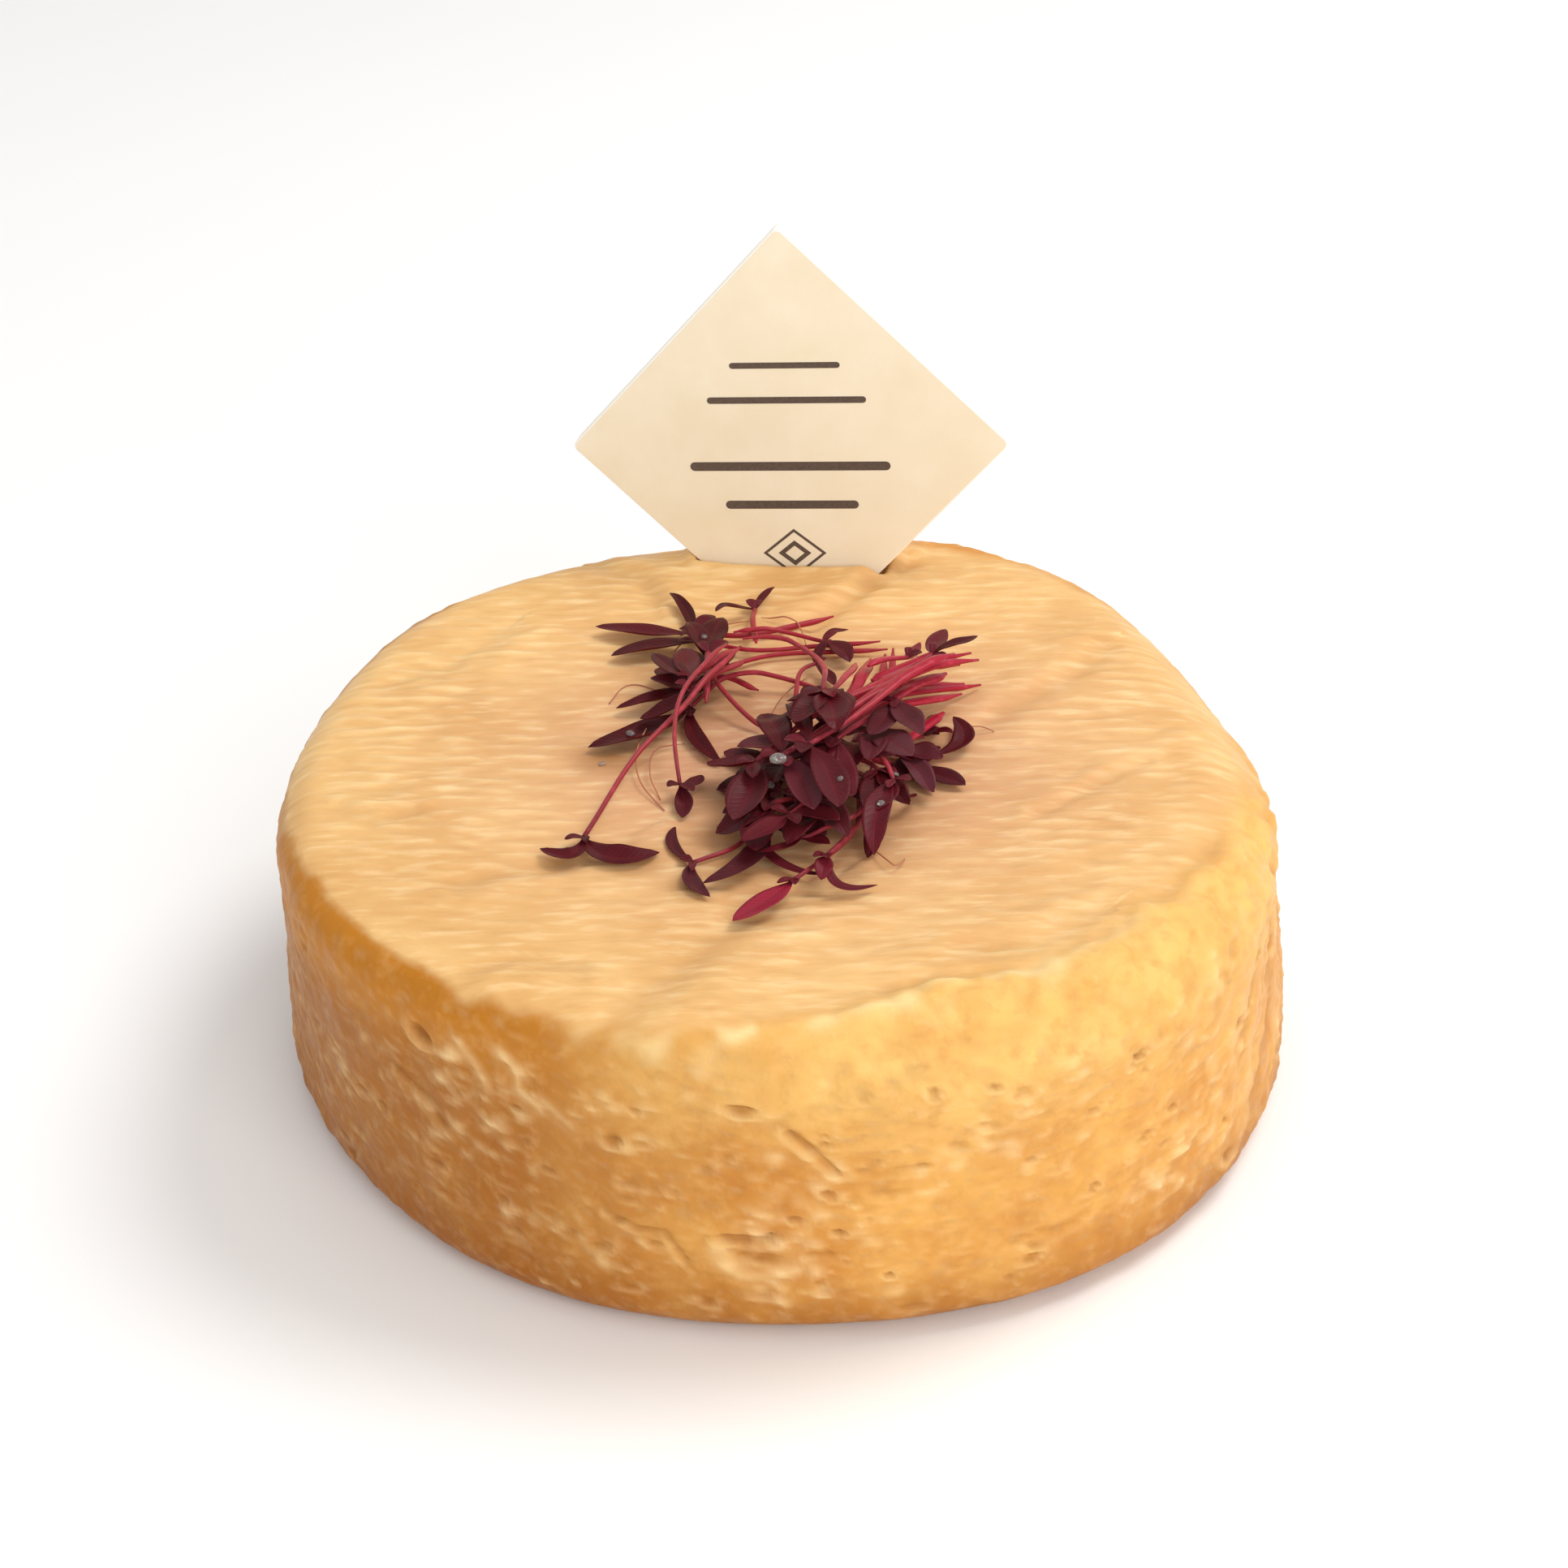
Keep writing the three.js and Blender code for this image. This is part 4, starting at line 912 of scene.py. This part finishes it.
def stemRoute(spots):
    # a centripetal spline through the points, then even steps along it
    spots = [np.array(s, float) for s in spots]
    spots = [2 * spots[0] - spots[1]] + spots + [2 * spots[-1] - spots[-2]]
    dense = []
    for k in range(1, len(spots) - 2):
        p0, p1, p2, p3 = spots[k - 1:k + 3]
        d0, d1, d2 = (math.sqrt(np.linalg.norm(b - a)) for a, b in ((p0, p1), (p1, p2), (p2, p3)))
        m1 = ((p1 - p0) / d0 - (p2 - p0) / (d0 + d1) + (p2 - p1) / d1) * d1
        m2 = ((p2 - p1) / d1 - (p3 - p1) / (d1 + d2) + (p3 - p2) / d2) * d1
        for t in np.linspace(0, 1, 24, endpoint=False):
            dense.append(p1 + m1 * t + (3 * (p2 - p1) - 2 * m1 - m2) * t * t
                         + (2 * (p1 - p2) + m1 + m2) * t ** 3)
    dense.append(spots[-2])
    dense = np.array(dense)
    run = np.append(0, np.cumsum(np.linalg.norm(np.diff(dense, axis=0), axis=1)))
    coarse = np.linspace(0, run[-1], seedlingShape["cadStemSteps"] + 1)
    return np.stack([np.interp(coarse, run, dense[:, k]) for k in (0, 1)], 1)


def leafRoute(base, tip, bow):
    base, tip = np.array(base, float), np.array(tip, float)
    run = tip - base
    left = np.array([-run[1], run[0]]) / np.linalg.norm(run)
    bend = (base + tip) / 2 + 2 * bow * left
    t = np.linspace(0, 1, seedlingShape["cadLeafSteps"] + 1)[:, None]
    return (1 - t) ** 2 * base + 2 * t * (1 - t) * bend + t * t * tip


def middleHeight(tree, x, y):
    # half way between the top and the underside of a frame seedling at one spot
    down = tree.ray_cast(Vector((x, y, 150)) * mm, Vector((0, 0, -1)))[0]
    up = tree.ray_cast(Vector((x, y, 20)) * mm, Vector((0, 0, 1)))[0]
    if down is None or up is None:
        return None
    return (down.z + up.z) / 2 / mm


def heightsAlong(tree, route):
    found = [middleHeight(tree, x, y) for x, y in route]
    known = [i for i, h in enumerate(found) if h is not None]
    return np.interp(range(len(route)), known, [found[i] for i in known])


def finer(route, count):
    # a smooth curve through the coarse places
    steps = np.linspace(0, len(route) - 1, count)
    k = np.clip(steps.astype(int), 0, len(route) - 2)
    t = (steps - k)[:, None]
    padded = np.concatenate([[2 * route[0] - route[1]], route, [2 * route[-1] - route[-2]]])
    p0, p1, p2, p3 = padded[k], padded[k + 1], padded[k + 2], padded[k + 3]
    return 0.5 * (2 * p1 + (p2 - p0) * t + (2 * p0 - 5 * p1 + 4 * p2 - p3) * t ** 2
                  + (3 * p1 - p0 - 3 * p2 + p3) * t ** 3)


def addStem(points, faces, values, route, radius):
    rings, sides = seedlingShape["stemRings"], seedlingShape["stemSides"]
    line = finer(route, rings)
    start = len(points)
    for k in range(rings):
        along = line[min(k + 1, rings - 1)] - line[max(k - 1, 0)]
        along /= np.linalg.norm(along)
        across = np.cross(along, (0, 0, 1))
        across /= np.linalg.norm(across)
        over = np.cross(across, along)
        t = k / (rings - 1)
        # a thin torn end, then a slow taper towards the leaves; pressed flat in the bundle
        thick = radius * (1.05 - 0.25 * t) * (0.35 + 0.65 * smoothStep(0, 0.16, t))
        wide = thick * (1 + 0.9 * spotValue(bundleSpots, line[k][0], line[k][1]))
        for i in range(sides):
            turn = i / sides * 2 * math.pi
            points.append(line[k] + across * wide * math.cos(turn) + over * thick * math.sin(turn))
            values["along"].append(t)
            values["across"].append(0)
            values["under"].append(0)
    for k in range(rings - 1):
        for i in range(sides):
            j = (i + 1) % sides
            a, b = start + k * sides, start + (k + 1) * sides
            faces.append((a + i, b + i, b + j, a + j))
    faces.append(tuple(range(start, start + sides)))
    last = start + (rings - 1) * sides
    faces.append(tuple(reversed(range(last, last + sides))))


def bladeWidth(t, width):
    # a short stalk, then a blade that is widest past its middle, with a blunt tip
    blade = np.clip((t - 0.08) / 0.92, 0, 1)
    return 0.26 * (1 - blade) ** 0.6 + (width / 2) * np.sin(math.pi * blade ** 1.12) ** 0.65


def addLeaf(points, faces, values, route, width, bank, rng):
    rings, columns = seedlingShape["leafRings"], seedlingShape["leafColumns"]
    line = finer(route, rings)
    cup = rng.uniform(0.1, 0.5)
    wave = rng.uniform(0.05, 0.14)
    start = len(points)
    for k in range(rings):
        along = line[min(k + 1, rings - 1)] - line[max(k - 1, 0)]
        across = np.cross((0, 0, 1), along)
        across /= np.linalg.norm(across)
        t = k / (rings - 1)
        half = max(0.04, float(bladeWidth(t, width)))
        for face in (1, -1):
            for i in range(columns + 1):
                s = i / columns * 2 - 1
                lift = half * (bank * s + cup * s * s + wave * math.sin(t * 9 + s * 2) * 0.5)
                groove = -0.1 * math.exp(-(s / 0.16) ** 2) * min(1, half)
                thin = (1 - s * s) ** 0.6 * math.sqrt(1 - t ** 4)
                plump = seedlingShape["leafThick"] / 2 * thin + 0.015
                place = line[k] + across * half * s
                place = place + np.array((0, 0, lift + groove * (face > 0) + face * plump))
                points.append(place)
                values["along"].append(t)
                values["across"].append(s)
                values["under"].append(0.0 if face > 0 else 1.0)
    wide = 2 * (columns + 1)
    for k in range(rings - 1):
        a, b = start + k * wide, start + (k + 1) * wide
        for i in range(columns):
            faces.append((a + i + 1, a + i, b + i, b + i + 1))
            c, d = a + columns + 1, b + columns + 1
            faces.append((c + i, c + i + 1, d + i + 1, d + i))
        faces.append((a, a + columns + 1, b + columns + 1, b))
        faces.append((a + wide - 1, a + columns, b + columns, b + wide - 1))
    for k, turned in ((0, False), (rings - 1, True)):
        a = start + k * wide
        loop = list(range(a, a + columns + 1)) + list(range(a + wide - 1, a + columns, -1))
        faces.append(tuple(reversed(loop)) if turned else tuple(loop))


# how bright the skin is near a spot: x, y, radius, strength
flushSpots = [(21, 9, 15, 1.0), (-5, 25, 9, 0.75), (10, 32, 12, 0.6)]
bundleSpots = [(19, 4, 9, 1.5), (-6, 20, 6, 0.7)]
crowdSpots = [(4, -13, 13, 1.0), (16, -9, 8, 0.7), (-12, 20, 9, 0.6)]
blushSpots = [(-4, -43, 5, 1.0), (22, 22, 6, 0.6), (4, -35, 4, 0.5)]
# where the leaf tops get a painted greyish sheen of reflected light: x, y, radius, strength
leafSheenSpots = [(-8, -36, 4, 0.9), (19, -12, 4, 0.8), (2, -22, 5, 0.4), (0, 0, 6, 0.5)]


def spotValue(spots, x, y):
    return max(s * math.exp(-((x - sx) ** 2 + (y - sy) ** 2) / r ** 2) for sx, sy, r, s in spots)


def buildSeedlings(stemSkin, leafSkin):
    rng = random.Random(5)
    sprouts = []
    for number, (stem, radius, leaves) in enumerate(seedlingPlan, 1):
        node = f"seedling_{number:02d}"
        tree = treeOf(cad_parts[node])
        points, faces, slots = [], [], []
        values = {"along": [], "across": [], "under": []}
        plan = stemRoute(stem)
        route = np.column_stack([plan, heightsAlong(tree, plan)])
        addStem(points, faces, values, route, radius)
        slots += [0] * (len(faces) - len(slots))
        tint = {"flush": [spotValue(flushSpots, p[0], p[1]) for p in points],
                "blush": [0.0] * len(points), "paintedSheen": [0.0] * len(points)}
        for tipX, tipY, width, bow in leaves:
            plan = leafRoute(stem[-1], (tipX, tipY), bow)
            heights = heightsAlong(tree, plan)
            heights[0] = route[-1][2]
            bank = leafBank(tree, plan, width)
            addLeaf(points, faces, values, np.column_stack([plan, heights]), width, bank, rng)
            slots += [1] * (len(faces) - len(slots))
            fresh = len(points) - len(tint["flush"])
            middle = plan[3]
            tint["flush"] += [0.0] * fresh
            tint["blush"] += [spotValue(blushSpots, *middle) + rng.uniform(0, 0.15)] * fresh
            # painted sheen, stronger near the listed spots
            tint["paintedSheen"] += [spotValue(leafSheenSpots, *middle) + rng.uniform(0, 0.15)] * fresh
        for plan, width in budRoutes(route, rng):
            addLeaf(points, faces, values, plan, width, 0.0, rng)
            slots += [1] * (len(faces) - len(slots))
            fresh = len(points) - len(tint["flush"])
            tint["flush"] += [0.0] * fresh
            tint["blush"] += [rng.uniform(0, 0.3)] * fresh
            tint["paintedSheen"] += [rng.uniform(0, 0.2)] * fresh
        piece = addObject(f"sprout_{number:02d}", points, faces, [stemSkin, leafSkin], slots, values | tint)
        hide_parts(node)
        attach(piece, "root")
        sprouts.append(piece)
    print("seedlings:", len(seedlingPlan))
    return sprouts


def budRoutes(route, rng):
    # the two first true leaves, still folded small between the seed leaves
    end = route[-1]
    run = end[:2] - route[-2][:2]
    bearing = math.atan2(run[1], run[0])
    for side in (1, -1):
        turn = bearing + side * rng.uniform(0.3, 1.1)
        crowd = spotValue(crowdSpots, end[0], end[1])
        length = rng.uniform(1.8, 3.2) * (1 + crowd)
        t = np.linspace(0, 1, 4)[:, None]
        out = np.array([math.cos(turn), math.sin(turn), 0]) * length * t
        rise = np.array([0, 0, 1]) * rng.uniform(0.3, 0.9) * np.sin(t * 2)
        yield end + out + rise, rng.uniform(0.8, 1.4) * (1 + 1.4 * crowd)


# beads of brine left on the leaves and the rind: x, y, radius
beads = [(0.4, -20.5, 1.25), (-1, -17, 0.7), (-21.5, 4, 0.7), (-12, 22, 0.6), (-10, 26, 0.5),
         (14.5, -28, 0.6), (9, -25, 0.5), (17, -20, 0.5), (-25.7, -2.7, 0.55)]


def buildBeads(water, landing):
    points, faces = [], []
    rings, sides = 7, 16
    for x, y, radius in beads:
        hits = [tree.ray_cast(Vector((x, y, 150)) * mm, Vector((0, 0, -1))) for tree in landing]
        spot, facing = max(((hit[0], hit[1]) for hit in hits if hit[0]), key=lambda hit: hit[0].z)
        turn = facing.to_track_quat("Z", "Y").to_matrix()
        start = len(points)
        for k in range(rings):
            # a squashed cap with a round foot, sunk a little so that it seals
            lean = (k + 0.6) / (rings - 0.2) * 0.62 * math.pi
            for i in range(sides):
                around = i / sides * 2 * math.pi
                place = Vector((math.sin(lean) * math.cos(around), math.sin(lean) * math.sin(around),
                                0.62 * math.cos(lean) + 0.16)) * radius
                points.append(tuple(spot / mm + turn @ place))
        for k in range(rings - 1):
            for i in range(sides):
                j = (i + 1) % sides
                a, b = start + k * sides, start + (k + 1) * sides
                faces.append((a + i, b + i, b + j, a + j))
        faces.append(tuple(range(start, start + sides)))
        last = start + (rings - 1) * sides
        faces.append(tuple(reversed(range(last, last + sides))))
    piece = addObject("brineBeads", points, faces, [water])
    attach(piece, "root")
    print("beads:", len(beads))


def brineBead():
    # a standing bead of brine: clear but faintly milky, very smooth, so it shows a small bright glint
    material, tree = newMaterial("milkyBrineBead")
    spots = addNode(tree, "ShaderNodeTexCoord").outputs["Object"]
    milk = addNode(tree, "ShaderNodeTexNoise", {"Scale": 1 / (0.8 * mm), "Detail": 2.0}, {"Vector": spots})
    tone = addNode(tree, "ShaderNodeMix", {"data_type": "RGBA", 6: hexLinear("#c9c2bc"),
                                           7: hexLinear("#f6f2ee")}, {0: milk.outputs["Fac"]})
    film = addNode(tree, "ShaderNodeMapRange", {"To Min": 0.03, "To Max": 0.09}, {"Value": milk.outputs["Fac"]})
    bead = addNode(tree, "ShaderNodeBsdfPrincipled", {"IOR": 1.34, "Transmission Weight": 0.85},
                   {"Base Color": tone.outputs[2], "Roughness": film.outputs[0]})
    addNode(tree, "ShaderNodeOutputMaterial", None, {"Surface": bead.outputs[0]})
    return material


# hair roots and broken threads lying on the rind: radius, points as x and y
hairs = [
    (0.14, [(-17, 14), (-19, 6), (-20.6, -3), (-19.6, -11), (-16.4, -17)]),
    (0.12, [(-13.4, 2), (-17.6, -1), (-18.4, -9), (-17, -14)]),
    (0.13, [(-2, 40), (-9, 36.4), (-14.6, 30), (-16, 24)]),
    (0.12, [(-1, 41), (4.6, 36), (6, 30)]),
    (0.12, [(5.6, 21), (1.4, 13), (-1.6, 5)]),
    (0.14, [(-16, 17.6), (-22, 19), (-25, 15.4)]),
    (0.12, [(27, 1.6), (30.6, 3.2), (33, 2.6)]),
    (0.13, [(12.4, -28), (16, -34.6), (17.4, -31.4)]),
    (0.12, [(20.4, 16), (23, 24.6), (22, 28.4)]),
]


def buildHairs(skin, ground):
    points, faces = [], []
    values = {"along": [], "across": [], "under": []}
    for radius, spots in hairs:
        plan = stemRoute(spots)
        drops = [ground.ray_cast(Vector((x, y, 150)) * mm, Vector((0, 0, -1)))[0].z / mm for x, y in plan]
        # each touches down at its ends and lifts a little between
        lift = radius + 1.2 * np.sin(np.linspace(0, math.pi, len(plan)))
        addStem(points, faces, values, np.column_stack([plan, np.array(drops) + lift]), radius)
    values["flush"] = [0.0] * len(points)
    piece = addObject("hairRoots", points, faces, [skin], values=values)
    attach(piece, "root")
    print("hair roots:", len(hairs))


def leafBank(tree, plan, width):
    # how much the frame's leaf leans sideways at its middle
    k = len(plan) // 2
    run = plan[k + 1] - plan[k - 1]
    left = np.array([-run[1], run[0]]) / np.linalg.norm(run)
    s = width * 0.25
    ends = [middleHeight(tree, *(plan[k] + left * side * s)) for side in (1, -1)]
    if None in ends:
        return 0.0
    return float(np.clip((ends[0] - ends[1]) / (2 * s), -0.4, 0.4))


def youngStem():
    # young seedling stem: smooth, sappy and slightly see-through, darker where older
    material, tree = newMaterial("sappySeedlingStem")
    spots = addNode(tree, "ShaderNodeTexCoord").outputs["Object"]
    flush = addNode(tree, "ShaderNodeAttribute", {"attribute_name": "flush"})
    along = addNode(tree, "ShaderNodeAttribute", {"attribute_name": "along"})
    streak = addNode(tree, "ShaderNodeTexNoise", {"Scale": 1 / (1.6 * mm), "Detail": 3.0}, {"Vector": spots})
    tone = addNode(tree, "ShaderNodeMix", {"data_type": "RGBA", 6: hexLinear("#983038"),
                                           7: hexLinear("#a6052c")}, {0: flush.outputs["Fac"]})
    pale = addNode(tree, "ShaderNodeMapRange", {"From Min": 0.5, "From Max": 0.72, "To Max": 0.4},
                   {"Value": streak.outputs["Fac"]})
    tone = addNode(tree, "ShaderNodeMix", {"data_type": "RGBA", 7: hexLinear("#cc4259")},
                   {0: pale.outputs[0], 6: tone.outputs[2]})
    nearLeaf = addNode(tree, "ShaderNodeMapRange", {"From Min": 0.75, "From Max": 1.0, "To Max": 0.6},
                       {"Value": along.outputs["Fac"]})
    tone = addNode(tree, "ShaderNodeMix", {"data_type": "RGBA", 7: hexLinear("#5a1424")},
                   {0: nearLeaf.outputs[0], 6: tone.outputs[2]})
    skin = addNode(tree, "ShaderNodeBsdfPrincipled", {
        "Roughness": 0.35, "IOR": 1.42, "Specular IOR Level": 0.3, "Subsurface Weight": 0.25, "Subsurface Scale": 0.6 * mm,
        "Subsurface Radius": (1.0, 0.25, 0.25)}, {"Base Color": tone.outputs[2]})
    addNode(tree, "ShaderNodeOutputMaterial", None, {"Surface": skin.outputs[0]})
    return material


def paleRoot():
    # hair root and dried thread: tan, dull and slightly see-through
    material, tree = newMaterial("driedHairRoot")
    spots = addNode(tree, "ShaderNodeTexCoord").outputs["Object"]
    worn = addNode(tree, "ShaderNodeTexNoise", {"Scale": 1 / (2 * mm), "Detail": 3.0}, {"Vector": spots})
    tone = addNode(tree, "ShaderNodeMix", {"data_type": "RGBA", 6: hexLinear("#b98458"),
                                           7: hexLinear("#a8524a")}, {0: worn.outputs["Fac"]})
    root = addNode(tree, "ShaderNodeBsdfPrincipled", {
        "Roughness": 0.6, "IOR": 1.45, "Subsurface Weight": 0.2, "Subsurface Scale": 0.3 * mm},
        {"Base Color": tone.outputs[2]})
    addNode(tree, "ShaderNodeOutputMaterial", None, {"Surface": root.outputs[0]})
    return material


def seedLeaf():
    # red seed leaf: dark maroon, paler magenta below, with a painted greyish sheen where the tops reflect the
    # light
    material, tree = newMaterial("redSeedLeaf")
    spots = addNode(tree, "ShaderNodeTexCoord").outputs["Object"]

    def mask(name):
        return addNode(tree, "ShaderNodeAttribute", {"attribute_name": name}).outputs["Fac"]

    def blend(first, second, factor):
        return addNode(tree, "ShaderNodeMix", {"data_type": "RGBA", 7: hexLinear(second)},
                       {0: factor, 6: first}).outputs[2]

    cloud = addNode(tree, "ShaderNodeTexNoise", {"Scale": 1 / (2.5 * mm), "Detail": 3.0}, {"Vector": spots})
    tone = addNode(tree, "ShaderNodeMix", {"data_type": "RGBA", 6: hexLinear("#270203"),
                                           7: hexLinear("#4e0a0e")}, {0: cloud.outputs["Fac"]}).outputs[2]
    tone = blend(tone, "#9b2238", mask("blush"))
    # painted sheen: greyish mauve where the leaf tops reflect the light
    tone = blend(tone, "#65353d", mask("paintedSheen"))
    tone = blend(tone, "#6a141e", addNode(tree, "ShaderNodeMath", {"operation": "MULTIPLY", 1: 0.7},
                                          {0: mask("under")}).outputs[0])
    # side veins leave the midrib about every millimetre
    slant = addNode(tree, "ShaderNodeMath", {"operation": "ABSOLUTE"}, {0: mask("across")})
    rib = addNode(tree, "ShaderNodeMapRange", {"From Min": 0.0, "From Max": 0.12, "To Min": 0.55, "To Max": 0.0},
                  {"Value": slant.outputs[0]})
    shift = addNode(tree, "ShaderNodeMath", {"operation": "MULTIPLY_ADD", 1: 13.0},
                    {0: mask("along")})
    tree.links.new(addNode(tree, "ShaderNodeMath", {"operation": "MULTIPLY", 1: -2.2},
                           {0: slant.outputs[0]}).outputs[0], shift.inputs[2])
    wave = addNode(tree, "ShaderNodeMath", {"operation": "PINGPONG", 1: 0.5}, {0: shift.outputs[0]})
    vein = addNode(tree, "ShaderNodeMapRange", {"From Min": 0.0, "From Max": 0.14, "To Min": 0.35, "To Max": 0.0},
                   {"Value": wave.outputs[0]})
    lines = addNode(tree, "ShaderNodeMath", {"operation": "MAXIMUM"}, {0: rib.outputs[0], 1: vein.outputs[0]})
    tone = blend(tone, "#6c1622", lines.outputs[0])
    relief = addNode(tree, "ShaderNodeBump", {"Strength": 0.5, "Distance": 0.12 * mm, "invert": True},
                     {"Height": lines.outputs[0]})
    leaf = addNode(tree, "ShaderNodeBsdfPrincipled", {
        "Roughness": 0.36, "IOR": 1.4, "Specular IOR Level": 0.17, "Subsurface Weight": 0.08, "Subsurface Scale": 0.4 * mm,
        "Subsurface Radius": (1.0, 0.2, 0.25)}, {"Base Color": tone, "Normal": relief.outputs[0]})
    addNode(tree, "ShaderNodeOutputMaterial", None, {"Surface": leaf.outputs[0]})
    return material


addCamera()
addStudio()
print("studio: camera, lights and floor")
card = readCard()
rind = buildWheel(card, [washedRind()])
buildCard(card, uncoatedBoard(), printedInk())
sprouts = buildSeedlings(youngStem(), seedLeaf())
buildHairs(paleRoot(), treeOf(rind))
buildBeads(brineBead(), [treeOf(piece) for piece in [rind] + sprouts])
